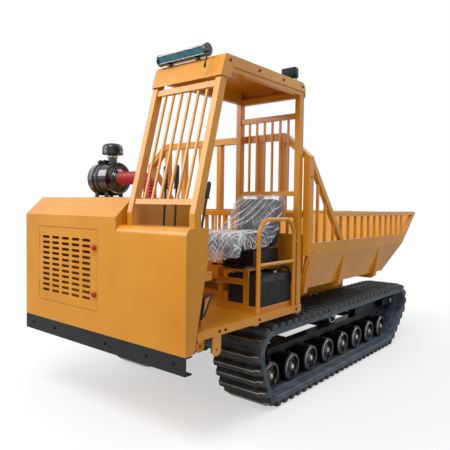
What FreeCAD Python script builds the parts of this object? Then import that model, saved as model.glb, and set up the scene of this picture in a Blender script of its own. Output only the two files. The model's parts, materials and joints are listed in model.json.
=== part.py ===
import FreeCAD, Part
import math
import os

# Tracked power barrow: a ride-on rubber-track carrier with an engine hood, an operator's
# cab and a tipping box. Millimetres. X runs across (+X is the operator's side), Y runs from
# the front face to the tail, Z is up from the ground. STAND_Y moves all to the part's frame,
# whose origin is under the middle of the machine on the ground.

V = FreeCAD.Vector

# Overall
HALF_WIDTH = 775.0          # bodywork, deck and outer track edges
BOX_HALF = 807.0            # half width of the tipping box
TAIL_Y = 3276.0             # tail edge of the box
SEAM_X = 213.0              # joint between hood and console, left edge of the cab

# Front bodywork
SHEET = 6.0                 # hood sheet
SKIN = 4.0                  # console, deck and roof sheet
SILL_Z = 528.0
HOOD_TOP = 1340.0
HOOD_SHOULDER_Z = 1224.0
HOOD_BEVEL = 125.0
HOOD_BACK = 690.0
CONSOLE_TOP = 1180.0
CONSOLE_RADIUS = 43.0
CONSOLE_LIP_Y = 168.0
BUMPER_HEIGHT = 99.0
BUMPER_FLANGE = 50.0
BUMPER_WALL = 8.0

# Service door
DOOR_X0 = -607.0
DOOR_WIDTH = 649.0
DOOR_Z0 = 653.0
DOOR_HEIGHT = 493.0
DOOR_GAP = 3.0
DOOR_SHEET = 4.0
SLOT_COLUMNS = 5
SLOT_ROWS = 11
SLOT_LENGTH = 85.0
SLOT_HEIGHT = 18.0
SLOT_PITCH_X = 112.0
SLOT_PITCH_Z = 35.2
KNOB_RADIUS = 17.5
KNOB_DEPTH = 18.0
KNUCKLE_RADIUS = 5.0
KNUCKLE_PIN = 2.5

# Deck and cab
DECK_TOP = 637.0
DECK_FRONT = 90.0
DECK_BACK = 1122.0
DECK_SKIRT = 45.0
CAB_X0 = 230.0
CAB_TOP = 2118.0
TUBE_X = 38.0
TUBE_Y = 50.0
PILLAR_FOOT_Y = 60.0
PILLAR_BEND_Z = 1254.0
PILLAR_TOP_Y = 256.0
PILLAR_TOP_Z = 1990.0
REAR_POST_Y = 1072.0
BAR = 13.0                  # grille bars
FRONT_BARS = 6
REAR_BARS = 6
ROOF_FRONT_Y = 251.0
ROOF_BACK_Y = 1126.0
RAIL_TUBE = 13.5            # handrail tube radius

# Chassis
RAIL_X0 = 260.0
RAIL_X1 = 340.0
RAIL_Z0 = 525.0
RAIL_FRONT = 60.0

# Tracks
TRACK_WIDTH = 390.0
LUG_PITCH = 90.0
LUG_HEIGHT = 40.0
BELT = 38.0
RUNWAY = 12.0               # raised running rails inside the belt
SPROCKET_Y = 815.0
SPROCKET_Z = 370.0
SPROCKET_WRAP = 147.0       # belt's outer radius round the sprocket
IDLER_Y = 3015.0
IDLER_Z = 385.0
IDLER_WRAP = 130.0
ROLLERS = 8
ROLLER_Y0 = 885.0
ROLLER_PITCH = 260.0
ROLLER_RADIUS = 95.0
CARRIER_Y = 1890.0
CARRIER_RADIUS = 65.0
GROUND_SAG = 55.0           # how far the belt stays down behind the last roller
BEAM_Z0 = 290.0
BEAM_Z1 = 335.0
SHAFT = 25.0                # roller and idler shafts
RUN = 0.9                   # running clearance of every shaft in its bore

# Tipping box
BOX_FRONT = 1146.0
FLOOR_Z = 722.0
FLOOR_BACK = 2620.0
FLOOR_HALF = 730.0
SIDE_Z = 965.0
RAIL_HEIGHT = 85.0
BOX_RAIL_BACK = 2904.0
TAIL_Z = 1256.0
BOX_SHEET = 6.0
RACK_Z0 = 1228.0
RACK_HEIGHT = 34.0
HEAD_TOP = 1808.0
HEAD_SHOULDER_Z = 1637.0
HEAD_TOP_HALF = 602.0
HEAD_POST = 46.0
HEAD_DEPTH = 60.0
HINGE_Y = 2560.0
HINGE_Z = 680.0
HINGE_PIN = 15.0
SUBRAIL_WIDTH = 50.0
TIP_LIMIT = 50.0            # degrees
SUBFRAME_CROSS = (1240.0, 1720.0, 2300.0)

# Lift cylinder
LIFT_TOP_Y = 2210.0
LIFT_TOP_Z = 670.0
LIFT_FOOT_Z = 290.0
BARREL_RADIUS = 40.0
ROD_RADIUS = 22.0
EYE_RADIUS = 29.0

# Seat
SEAT_X = 525.0
SEAT_TRAVEL = 50.0
CUSHION_HALF = 190.0
PLATFORM_TOP = 897.0
BAR_LEFT = 275.0             # roof light bar
BAR_RIGHT = 640.0
BAR_FRONT = 256.0
PLATFORM_X0 = 399.0
PLATFORM_X1 = 649.0
PLATFORM_Y0 = 690.0
PLATFORM_Y1 = 1088.0

# Intake
CLEANER_X = -381.0         # intake neck
CLEANER_Y = 435.0
CLEANER_Z = 1478.0
CLEANER_RADIUS = 116.0
HOSE_RADIUS = 45.0
CLEANER_LEFT = -525.0
CLEANER_RIGHT = -315.0
DOME_RADIUS = 73.0

STAND_Y = -(TAIL_Y - KNOB_DEPTH) / 2
RAIL_TOP = DECK_TOP - SKIN
TRACK_X0 = HALF_WIDTH - TRACK_WIDTH
TRACK_MID = HALF_WIDTH - TRACK_WIDTH / 2
ROLLER_Z = LUG_HEIGHT + BELT + RUNWAY + RUN + ROLLER_RADIUS
BUMPER_Z = SILL_Z - BUMPER_HEIGHT


def box(x0, x1, y0, y1, z0, z1):
    return Part.makeBox(x1 - x0, y1 - y0, z1 - z0, V(x0, y0, z0))


def prism(points, direction):
    """Polygon of 3-D points, pushed along a vector."""
    return Part.Face(Part.makePolygon([V(*p) for p in points] + [V(*points[0])])).extrude(V(*direction))


def prism_x(points, x0, x1):
    return prism([(x0, y, z) for y, z in points], (x1 - x0, 0, 0))


def prism_y(points, y0, y1):
    return prism([(x, y0, z) for x, z in points], (0, y1 - y0, 0))


def rod_x(y, z, radius, x0, x1):
    return Part.makeCylinder(radius, x1 - x0, V(x0, y, z), V(1, 0, 0))


def rod_y(x, z, radius, y0, y1):
    return Part.makeCylinder(radius, y1 - y0, V(x, y0, z), V(0, 1, 0))


def rod_z(x, y, radius, z0, z1):
    return Part.makeCylinder(radius, z1 - z0, V(x, y, z0), V(0, 0, 1))


def rod_between(start, end, radius):
    step = V(*end) - V(*start)
    return Part.makeCylinder(radius, step.Length, V(*start), step)


def union(*shapes):
    flat = []
    for shape in shapes:
        flat.extend(shape if isinstance(shape, list) else [shape])
    if len(flat) == 1:
        return flat[0]
    return flat[0].multiFuse(flat[1:]).removeSplitter()


def slanted(y0, z0, y1, z1, depth, x0, x1):
    """Bar that leans in Y, level at both ends."""
    return prism_x([(y0, z0), (y0 + depth, z0), (y1 + depth, z1), (y1, z1)], x0, x1)


def hex_head(point, axis, radius=9.0, height=6.0):
    """Bolt head that stands on a face at point, its height along axis."""
    along = V(*axis)
    side = V(0, 0, 1) if abs(along.z) < 0.5 else V(1, 0, 0)
    other = along.cross(side)
    corners = []
    for k in range(6):
        angle = math.pi * k / 3
        corners.append(V(*point) + side * (radius * math.cos(angle)) + other * (radius * math.sin(angle)))
    return Part.Face(Part.makePolygon(corners + [corners[0]])).extrude(along * height)


def mirrored(shape):
    return shape.mirror(V(0, 0, 0), V(1, 0, 0))


def at_side(shape, side):
    return shape if side > 0 else mirrored(shape)


# The belt's loop: tangent lines and arcs round four circles, anticlockwise seen from +X

def belt_circles(offset):
    wrap = ROLLER_Z - LUG_HEIGHT
    last = ROLLER_Y0 + ROLLER_PITCH * (ROLLERS - 1) + GROUND_SAG
    return [(ROLLER_Y0, ROLLER_Z, wrap + offset), (last, ROLLER_Z, wrap + offset),
            (IDLER_Y, IDLER_Z, IDLER_WRAP + offset), (SPROCKET_Y, SPROCKET_Z, SPROCKET_WRAP + offset)]


def belt_tangents(offset):
    """Start and end of each straight run, with the outward normal's angle."""
    circles = belt_circles(offset)
    runs = []
    for k, (y0, z0, r0) in enumerate(circles):
        y1, z1, r1 = circles[(k + 1) % len(circles)]
        span = math.hypot(y1 - y0, z1 - z0)
        angle = math.atan2(z1 - z0, y1 - y0) - math.pi / 2 + math.asin((r0 - r1) / span)
        normal = (math.cos(angle), math.sin(angle))
        runs.append(((y0 + r0 * normal[0], z0 + r0 * normal[1]),
                     (y1 + r1 * normal[0], z1 + r1 * normal[1]), angle))
    return circles, runs


def belt_wire(offset, x):
    circles, runs = belt_tangents(offset)
    edges = []
    for k, (start, end, angle) in enumerate(runs):
        edges.append(Part.makeLine(V(x, *start), V(x, *end)))
        y, z, r = circles[(k + 1) % len(circles)]
        turn = (runs[(k + 1) % len(runs)][2] - angle) % (2 * math.pi)
        middle = angle + turn / 2
        after = runs[(k + 1) % len(runs)][0]
        edges.append(Part.Arc(V(x, *end), V(x, y + r * math.cos(middle), z + r * math.sin(middle)),
                              V(x, *after)).toShape())
    return Part.Wire(edges)


def belt_frames(count, offset):
    """count places evenly spaced round the loop: point and outward normal."""
    wire = belt_wire(offset, 0)
    pieces = [(edge, edge.Length) for edge in wire.Edges]
    total = sum(length for edge, length in pieces)
    frames = []
    for k in range(count):
        rest = total * k / count
        for edge, length in pieces:
            if rest <= length:
                break
            rest -= length
        where = edge.getParameterByLength(rest)
        point, along = edge.valueAt(where), edge.tangentAt(where)
        frames.append((point, V(0, along.z, -along.y)))
    return frames


def track_belt():
    path = belt_wire(0, 0).Length
    count = round(path / LUG_PITCH)
    outline = []
    for point, normal in belt_frames(count, 0):
        along = V(0, -normal.z, normal.y)
        for half, height in ((-28, 0), (-17, LUG_HEIGHT), (17, LUG_HEIGHT), (28, 0)):
            corner = point + along * half + normal * height
            outline.append(V(TRACK_X0, corner.y, corner.z))
    outer = Part.makePolygon(outline + [outline[0]])
    body = Part.Face(outer).extrude(V(TRACK_WIDTH, 0, 0))
    body = body.cut(Part.Face(belt_wire(-BELT, TRACK_X0 - 1)).extrude(V(TRACK_WIDTH + 2, 0, 0)))
    for x0 in (TRACK_MID - 125, TRACK_MID + 45):
        rail = Part.Face(belt_wire(-BELT + 1, x0)).extrude(V(80, 0, 0))
        rail = rail.cut(Part.Face(belt_wire(-BELT - RUNWAY, x0 - 1)).extrude(V(82, 0, 0)))
        body = body.fuse(rail)
    return body.removeSplitter()


def lower_roller(y):
    discs = [rod_x(y, ROLLER_Z, ROLLER_RADIUS, TRACK_MID - 115, TRACK_MID - 50),
             rod_x(y, ROLLER_Z, ROLLER_RADIUS, TRACK_MID + 60, TRACK_MID + 125)]
    collars = [rod_x(y, ROLLER_Z, 42, TRACK_MID - 50, TRACK_MID - 12),
               rod_x(y, ROLLER_Z, 42, TRACK_MID + 22, TRACK_MID + 60)]
    return union(discs, collars, rod_x(y, ROLLER_Z, SHAFT, TRACK_MID - 115, TRACK_MID + 137))


def carrier_z():
    """Height of the carrier roller, just under the belt's upper run."""
    circles, runs = belt_tangents(-BELT)
    (y0, z0), (y1, z1), angle = runs[2]
    return z0 + (z1 - z0) * (CARRIER_Y - y0) / (y1 - y0) - CARRIER_RADIUS - 3


def carrier_roller():
    z = carrier_z()
    return union(rod_x(CARRIER_Y, z, CARRIER_RADIUS, TRACK_MID - 40, TRACK_MID + 40),
                 rod_x(CARRIER_Y, z, SHAFT, TRACK_MID - 100, TRACK_MID + 52))


def sprocket():
    """Nine round teeth between two hub faces, on a stub shaft."""
    reach = SPROCKET_WRAP - BELT - 3
    wheel = [rod_x(SPROCKET_Y, SPROCKET_Z, reach - 16, TRACK_MID - 30, TRACK_MID + 30)]
    for k in range(9):
        angle = 2 * math.pi * k / 9
        wheel.append(rod_x(SPROCKET_Y + (reach - 14) * math.cos(angle),
                           SPROCKET_Z + (reach - 14) * math.sin(angle), 14,
                           TRACK_MID - 30, TRACK_MID + 30))
    wheel.append(rod_x(SPROCKET_Y, SPROCKET_Z, 46, TRACK_MID + 30, TRACK_MID + 62))
    wheel.append(rod_x(SPROCKET_Y, SPROCKET_Z, SHAFT + 8, TRACK_MID - 160, TRACK_MID - 30))
    return union(wheel)


def idler():
    reach = IDLER_WRAP - BELT - 3
    return union(rod_x(IDLER_Y, IDLER_Z, reach, TRACK_MID - 36, TRACK_MID + 36),
                 rod_x(IDLER_Y, IDLER_Z, SHAFT, TRACK_MID - 98, TRACK_MID + 98))


def track_frame_side():
    beam_x0, beam_x1 = TRACK_MID - 35, TRACK_MID + 45
    last = ROLLER_Y0 + ROLLER_PITCH * (ROLLERS - 1)
    beam_y0 = SPROCKET_Y + SPROCKET_WRAP - 15
    solids = [box(beam_x0, beam_x1, beam_y0, last + 60, BEAM_Z0, BEAM_Z1)]
    for k in range(ROLLERS):
        y = ROLLER_Y0 + ROLLER_PITCH * k
        root = max(y - 50, beam_y0)
        hanger = prism_x([(root, BEAM_Z0), (y - 34, ROLLER_Z), (y + 34, ROLLER_Z), (root + 100, BEAM_Z0)],
                         TRACK_MID - 10, TRACK_MID + 20)
        solids.append(hanger)
        solids.append(rod_x(y, ROLLER_Z, 38, TRACK_MID - 10, TRACK_MID + 20))
    # tensioner housing and the idler's fork
    solids.append(box(beam_x0 + 5, beam_x1 - 5, last - 380, last + 60, BEAM_Z1, BEAM_Z1 + 90))
    solids.append(rod_y(TRACK_MID, BEAM_Z1 + 45, 24, last + 60, last + 110))
    fork_y = last + 110
    solids.append(box(TRACK_MID - 90, TRACK_MID + 90, fork_y, fork_y + 25, BEAM_Z1 + 15, BEAM_Z1 + 75))
    for x in (TRACK_MID - 90, TRACK_MID + 70):
        solids.append(box(x, x + 20, fork_y, IDLER_Y, IDLER_Z - 32, IDLER_Z + 32))
        solids.append(rod_x(IDLER_Y, IDLER_Z, 38, x, x + 20))
    # carrier roller's arm
    solids.append(box(TRACK_MID - 90, TRACK_MID - 60, CARRIER_Y - 30, CARRIER_Y + 30,
                      BEAM_Z0, carrier_z() + 38))
    solids.append(box(TRACK_MID - 90, beam_x0, CARRIER_Y - 30, CARRIER_Y + 30, BEAM_Z0, BEAM_Z0 + 30))
    for tool_y, tool_z, x0, x1 in [(CARRIER_Y, carrier_z(), TRACK_MID - 105, TRACK_MID - 50),
                                   (IDLER_Y, IDLER_Z, TRACK_MID - 100, TRACK_MID + 100)]:
        solids = [union(solids).cut(rod_x(tool_y, tool_z, SHAFT + RUN, x0, x1))]
    body = solids[0]
    for k in range(ROLLERS):
        y = ROLLER_Y0 + ROLLER_PITCH * k
        body = body.cut(rod_x(y, ROLLER_Z, SHAFT + RUN, TRACK_MID - 15, TRACK_MID + 25))
    return body


CROSS_TUBES = (1230.0, 1930.0, 2420.0)
CROSS_DEPTH = 60.0


def lift_foot_y():
    """The foot lies on the chord that the rod's eye travels, so the barrel barely swings."""
    turn = math.radians(TIP_LIMIT)
    dy, dz = LIFT_TOP_Y - HINGE_Y, LIFT_TOP_Z - HINGE_Z
    end_y = HINGE_Y + dy * math.cos(turn) + dz * math.sin(turn)
    end_z = HINGE_Z - dy * math.sin(turn) + dz * math.cos(turn)
    slope = (end_y - LIFT_TOP_Y) / (end_z - LIFT_TOP_Z)
    return LIFT_TOP_Y - slope * (LIFT_TOP_Z - LIFT_FOOT_Z)


LIFT_FOOT_Y = lift_foot_y()


def track_frames():
    tubes = []
    for y in CROSS_TUBES:
        tubes.append(box(-TRACK_MID + 35, TRACK_MID - 35, y, y + CROSS_DEPTH, BEAM_Z0, BEAM_Z0 + 50))
        for side in (-1, 1):
            x0 = RAIL_X0 if side > 0 else -RAIL_X1
            tubes.append(box(x0, x0 + RAIL_X1 - RAIL_X0, y, y + CROSS_DEPTH, BEAM_Z0 + 50, RAIL_Z0))
            brace = slanted(y + CROSS_DEPTH - 250, RAIL_Z0, y, BEAM_Z0 + 60, 50,
                            x0 + 20, x0 + 60)
            tubes.append(brace)
    ears = []
    for x0 in (-BARREL_RADIUS - 16, BARREL_RADIUS + 2):
        ears.append(box(x0, x0 + 14, CROSS_TUBES[1] + CROSS_DEPTH, LIFT_FOOT_Y,
                        LIFT_FOOT_Z - 34, LIFT_FOOT_Z + 34))
        ears.append(rod_x(LIFT_FOOT_Y, LIFT_FOOT_Z, 34, x0, x0 + 14))
    pin = rod_x(LIFT_FOOT_Y, LIFT_FOOT_Z, HINGE_PIN, -BARREL_RADIUS - 22, BARREL_RADIUS + 22)
    side = track_frame_side()
    return union(side, mirrored(side), tubes, ears, pin)


def chassis_frame():
    rail_back = HINGE_Y + 80
    solids = []
    for side in (-1, 1):
        solids.append(at_side(box(RAIL_X0, RAIL_X1, RAIL_FRONT, rail_back, RAIL_Z0, RAIL_TOP), side))
        for y in (100, 600, 1076):
            solids.append(at_side(box(RAIL_X1, HALF_WIDTH - SHEET, y, y + 40, RAIL_TOP - 55, RAIL_TOP), side))
        solids.append(at_side(box(RAIL_X0, RAIL_X1, BUMPER_WALL, RAIL_FRONT, BUMPER_Z + 10,
                                  SILL_Z - 10), side))
        solids.append(at_side(box(RAIL_X0, RAIL_X1, BUMPER_FLANGE + 4, 160, BUMPER_Z + 10, RAIL_Z0), side))
        for x0 in (RAIL_X0 - 14, RAIL_X0 + SUBRAIL_WIDTH + 2):
            ear = [box(x0, x0 + 12, HINGE_Y - 55, HINGE_Y + 55, RAIL_TOP - 60, RAIL_TOP),
                   prism_x([(HINGE_Y - 55, RAIL_TOP), (HINGE_Y - 34, HINGE_Z), (HINGE_Y + 34, HINGE_Z),
                            (HINGE_Y + 55, RAIL_TOP)], x0, x0 + 12),
                   rod_x(HINGE_Y, HINGE_Z, 34, x0, x0 + 12)]
            solids.extend(at_side(piece, side) for piece in ear)
        solids.append(at_side(rod_x(HINGE_Y, HINGE_Z, HINGE_PIN, RAIL_X0 - 20,
                                    RAIL_X0 + SUBRAIL_WIDTH + 20), side))
        for y in (1330, 2020):
            solids.append(at_side(box(RAIL_X0 + 2, RAIL_X0 + SUBRAIL_WIDTH - 2, y, y + 90,
                                      RAIL_TOP, HINGE_Z - 38.3), side))
    for y in (RAIL_FRONT, 640, 1180, 1640, rail_back - 60):
        solids.append(box(-RAIL_X0, RAIL_X0, y, y + 60, RAIL_Z0, RAIL_TOP - 8))
    solids.append(box(-RAIL_X0, RAIL_X0, 160, 560, RAIL_TOP - 8, RAIL_TOP))
    solids.append(box(-HALF_WIDTH + SHEET, SEAM_X - SHEET, HOOD_BACK + 4, DECK_BACK, RAIL_TOP,
                      RAIL_TOP + SKIN))
    return union(solids)


def front_bumper():
    channel = box(-HALF_WIDTH, HALF_WIDTH, 0, BUMPER_FLANGE, BUMPER_Z, SILL_Z)
    return channel.cut(box(-HALF_WIDTH - 1, HALF_WIDTH + 1, BUMPER_WALL, BUMPER_FLANGE + 1,
                           BUMPER_Z + BUMPER_WALL, SILL_Z - BUMPER_WALL))


def engine_hood():
    def profile(inset):
        return [(inset, SILL_Z if inset == 0 else SILL_Z - 1), (inset, HOOD_SHOULDER_Z - inset * 0.4),
                (HOOD_BEVEL + inset * 0.4, HOOD_TOP - inset), (HOOD_BACK - inset, HOOD_TOP - inset),
                (HOOD_BACK - inset, SILL_Z if inset == 0 else SILL_Z - 1)]
    shell = prism_x(profile(0), -HALF_WIDTH, SEAM_X)
    shell = shell.cut(prism_x(profile(SHEET), -HALF_WIDTH + SHEET, SEAM_X - SHEET))
    shell = shell.cut(box(-HALF_WIDTH + SHEET, SEAM_X - SHEET, HOOD_BACK - SHEET - 1, HOOD_BACK + 1,
                          SILL_Z - 1, RAIL_TOP + 7))
    shell = shell.cut(box(SEAM_X - SHEET - 1, SEAM_X + 1, BUMPER_FLANGE, HOOD_BACK + 1, SILL_Z - 1, RAIL_TOP))
    shell = shell.cut(box(DOOR_X0, DOOR_X0 + DOOR_WIDTH, -1, SHEET + 1, DOOR_Z0, DOOR_Z0 + DOOR_HEIGHT))
    stops = [box(DOOR_X0 + DOOR_WIDTH - 8, DOOR_X0 + DOOR_WIDTH + 20, SHEET, SHEET + 3, z, z + 60)
             for z in (DOOR_Z0 + 60, DOOR_Z0 + DOOR_HEIGHT - 140)]
    hinges = []
    for z in knuckle_places():
        hinges.append(rod_z(DOOR_X0 + DOOR_GAP, 0, KNUCKLE_PIN, z - 20, z + 60))
        for z0 in (z - 20, z + 40 + RUN):
            hinges.append(rod_z(DOOR_X0 + DOOR_GAP, 0, KNUCKLE_RADIUS, z0, z0 + 20 - RUN))
    pocket = [rod_z(DOOR_X0 + DOOR_GAP, 0, KNUCKLE_RADIUS + RUN, z, z + 40) for z in knuckle_places()]
    for piece in pocket:
        shell = shell.cut(piece)
    return union(shell, stops, hinges)


def knuckle_places():
    return (DOOR_Z0 + 70, DOOR_Z0 + DOOR_HEIGHT - 110)


def service_door():
    x0, x1 = DOOR_X0 + DOOR_GAP, DOOR_X0 + DOOR_WIDTH - DOOR_GAP
    z0, z1 = DOOR_Z0 + DOOR_GAP, DOOR_Z0 + DOOR_HEIGHT - DOOR_GAP
    outline = Part.makePolygon([V(x0, 0, z0), V(x1, 0, z0), V(x1, 0, z1), V(x0, 0, z1), V(x0, 0, z0)])
    holes = []
    spare_x = (x1 - x0 - (SLOT_COLUMNS - 1) * SLOT_PITCH_X - SLOT_LENGTH) / 2 - 12
    spare_z = (z1 - z0 - (SLOT_ROWS - 1) * SLOT_PITCH_Z) / 2
    half = SLOT_HEIGHT / 2
    for column in range(SLOT_COLUMNS):
        left = x0 + spare_x + column * SLOT_PITCH_X + half
        right = left + SLOT_LENGTH - SLOT_HEIGHT
        for row in range(SLOT_ROWS):
            z = z0 + spare_z + row * SLOT_PITCH_Z
            holes.append(Part.Wire([
                Part.makeLine(V(left, 0, z - half), V(right, 0, z - half)),
                Part.Arc(V(right, 0, z - half), V(right + half, 0, z), V(right, 0, z + half)).toShape(),
                Part.makeLine(V(right, 0, z + half), V(left, 0, z + half)),
                Part.Arc(V(left, 0, z + half), V(left - half, 0, z), V(left, 0, z - half)).toShape()]))
    panel = Part.Face([outline] + holes, "Part::FaceMakerBullseye").extrude(V(0, DOOR_SHEET, 0))
    for z in knuckle_places():
        for z0 in (z - 20, z + 40):
            panel = panel.cut(rod_z(x0, 0, KNUCKLE_RADIUS + RUN, z0 - RUN, z0 + 20 + RUN))
        knuckle = rod_z(x0, 0, KNUCKLE_RADIUS, z + RUN, z + 40 - RUN)
        panel = panel.fuse(knuckle).cut(rod_z(x0, 0, KNUCKLE_PIN + RUN, z - 30, z + 70))
    return panel


def door_knob(z):
    x = DOOR_X0 + DOOR_WIDTH - 24
    return union(rod_y(x, z, KNOB_RADIUS, -KNOB_DEPTH, -4), rod_y(x, z, 8, -4, -0.5))


def front_console():
    def side(x0, x1):
        return prism_x([(0, SILL_Z), (0, CONSOLE_TOP - CONSOLE_RADIUS),
                        (CONSOLE_RADIUS * 0.3, CONSOLE_TOP - 12),
                        (CONSOLE_RADIUS, CONSOLE_TOP), (CONSOLE_LIP_Y, CONSOLE_TOP),
                        (CONSOLE_LIP_Y - 1, 1009), (134, 867), (88, 655), (70, 546), (52, SILL_Z)], x0, x1)
    block = side(SEAM_X + 1, HALF_WIDTH)
    front = box(SEAM_X + 1, HALF_WIDTH, 0, SKIN, SILL_Z, CONSOLE_TOP - CONSOLE_RADIUS)
    bend = rod_x(CONSOLE_RADIUS, CONSOLE_TOP - CONSOLE_RADIUS, CONSOLE_RADIUS, SEAM_X + 1, HALF_WIDTH)
    bend = bend.cut(rod_x(CONSOLE_RADIUS, CONSOLE_TOP - CONSOLE_RADIUS, CONSOLE_RADIUS - SKIN,
                          SEAM_X, HALF_WIDTH + 1))
    bend = bend.common(box(SEAM_X, HALF_WIDTH + 1, 0, CONSOLE_RADIUS, CONSOLE_TOP - CONSOLE_RADIUS,
                           CONSOLE_TOP))
    top = box(SEAM_X + 1, HALF_WIDTH, CONSOLE_RADIUS, CONSOLE_LIP_Y, CONSOLE_TOP - SKIN, CONSOLE_TOP)
    lip = box(SEAM_X + 1, HALF_WIDTH, CONSOLE_LIP_Y - SKIN, CONSOLE_LIP_Y, CONSOLE_TOP - 24, CONSOLE_TOP)
    cheek_out = block.common(box(HALF_WIDTH - SKIN, HALF_WIDTH, -1, 200, SILL_Z,
                                 CONSOLE_TOP - CONSOLE_RADIUS))
    cheek_top = box(HALF_WIDTH - SKIN, HALF_WIDTH, CONSOLE_RADIUS, CONSOLE_LIP_Y,
                    CONSOLE_TOP - CONSOLE_RADIUS - 1, CONSOLE_TOP)
    corner = rod_x(CONSOLE_RADIUS, CONSOLE_TOP - CONSOLE_RADIUS, CONSOLE_RADIUS, HALF_WIDTH - SKIN,
                   HALF_WIDTH)
    inner_cheek = box(SEAM_X + 1, SEAM_X + 1 + SKIN, 1, BUMPER_FLANGE, SILL_Z, CONSOLE_TOP - CONSOLE_RADIUS)
    shelf = box(600, HALF_WIDTH - 1, 120, 200, 940, 946)
    gusset = box(HALF_WIDTH - SKIN - 1, HALF_WIDTH - SKIN, 60, 200, 900, 946)
    ears = [box(x, x + 6, 140, 186, 946, 1000) for x in (GEAR_X - 24, GEAR_X + 18)]
    ears += [rod_x(GEAR_Y, GEAR_Z, 22, x, x + 6) for x in (GEAR_X - 24, GEAR_X + 18)]
    pin = rod_x(GEAR_Y, GEAR_Z, LEVER_PIN, GEAR_X - 28, GEAR_X + 28)
    return union(front, bend, top, lip, cheek_out, cheek_top, corner, inner_cheek, shelf, gusset, ears, pin)


GEAR_X = 690.0
GEAR_Y = 163.0
GEAR_Z = 1000.0
LEVER_PIN = 8.0
STEER_X = (303.0, 397.0)
STEER_Y = 262.0
STEER_Z = 700.0
PEDAL_X0 = 604.0
PEDAL_X1 = 686.0
PEDAL_Y = 215.0
PEDAL_Z = 657.0


def lever(x, y, z, knee, top, grip_length, grip_radius):
    """Hub on its pin, shaft up to the knee, then the grip."""
    hub = rod_x(y, z, LEVER_PIN + 8, x - 15, x + 15)
    shaft = rod_between((x, y, z), (x, knee[0], knee[1]), 7)
    joint = Part.makeSphere(7.5, V(x, knee[0], knee[1]))
    direction = V(0, top[0] - knee[0], top[1] - knee[1]).normalize()
    grip_start = V(x, top[0], top[1]) - direction * grip_length
    stem = rod_between((x, knee[0], knee[1]), tuple(grip_start), 7)
    grip = rod_between(tuple(grip_start), (x, top[0], top[1]), grip_radius)
    cap = Part.makeSphere(grip_radius, V(x, top[0], top[1]))
    body = union(hub, shaft, joint, stem, grip, cap)
    return body.cut(rod_x(y, z, LEVER_PIN + RUN, x - 20, x + 20))


def operator_deck():
    plate = box(SEAM_X, HALF_WIDTH, DECK_FRONT, DECK_BACK, RAIL_TOP, DECK_TOP)
    skirt = box(HALF_WIDTH - SKIN, HALF_WIDTH, DECK_FRONT, DECK_BACK, DECK_TOP - DECK_SKIRT, DECK_TOP)
    hangers = []
    for y, low, x in ((251, 480, HALF_WIDTH - SKIN), (178, 505, HALF_WIDTH - 60)):
        hangers.append(box(x - 8, x, y - 34, y + 34, low + 34, RAIL_TOP))
        hangers.append(rod_x(y, low + 34, 34, x - 8, x))
    holes = [rod_x(251, 514, 9, HALF_WIDTH - 30, HALF_WIDTH + 1),
             rod_x(178, 539, 9, HALF_WIDTH - 80, HALF_WIDTH - 50)]
    stand = [box(STEER_X[0] - 26, STEER_X[1] + 26, STEER_Y - 28, STEER_Y + 28, DECK_TOP, DECK_TOP + 20)]
    for x in STEER_X:
        for x0 in (x - 22, x + 16):
            stand.append(box(x0, x0 + 6, STEER_Y - 22, STEER_Y + 22, DECK_TOP + 20, STEER_Z))
            stand.append(rod_x(STEER_Y, STEER_Z, 22, x0, x0 + 6))
    stand.append(rod_x(STEER_Y, STEER_Z, LEVER_PIN, STEER_X[0] - 26, STEER_X[1] + 26))
    lugs = []
    for x in (PEDAL_X0 - 10, PEDAL_X1 + 2):
        lugs.append(box(x, x + 8, PEDAL_Y - 14, PEDAL_Y + 14, DECK_TOP, PEDAL_Z))
        lugs.append(rod_x(PEDAL_Y, PEDAL_Z, 14, x, x + 8))
    lugs.append(rod_x(PEDAL_Y, PEDAL_Z, 6, PEDAL_X0 - 14, PEDAL_X1 + 14))
    body = union(plate, skirt, hangers, stand, lugs)
    for hole in holes:
        body = body.cut(hole)
    return body


def brake_pedal():
    plate = prism_x([(PEDAL_Y - 4, PEDAL_Z + 4), (PEDAL_Y + 10, PEDAL_Z - 2), (305, 800), (296, 806)],
                    PEDAL_X0, PEDAL_X1)
    web = [prism_x([(PEDAL_Y - 2, PEDAL_Z), (PEDAL_Y + 6, PEDAL_Z), (300, 801), (240, 790)], x, x + 6)
           for x in (PEDAL_X0, PEDAL_X1 - 6)]
    hub = rod_x(PEDAL_Y, PEDAL_Z, 12, PEDAL_X0, PEDAL_X1)
    return union(plate, web, hub).cut(rod_x(PEDAL_Y, PEDAL_Z, 6 + RUN, PEDAL_X0 - 5, PEDAL_X1 + 5))


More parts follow.
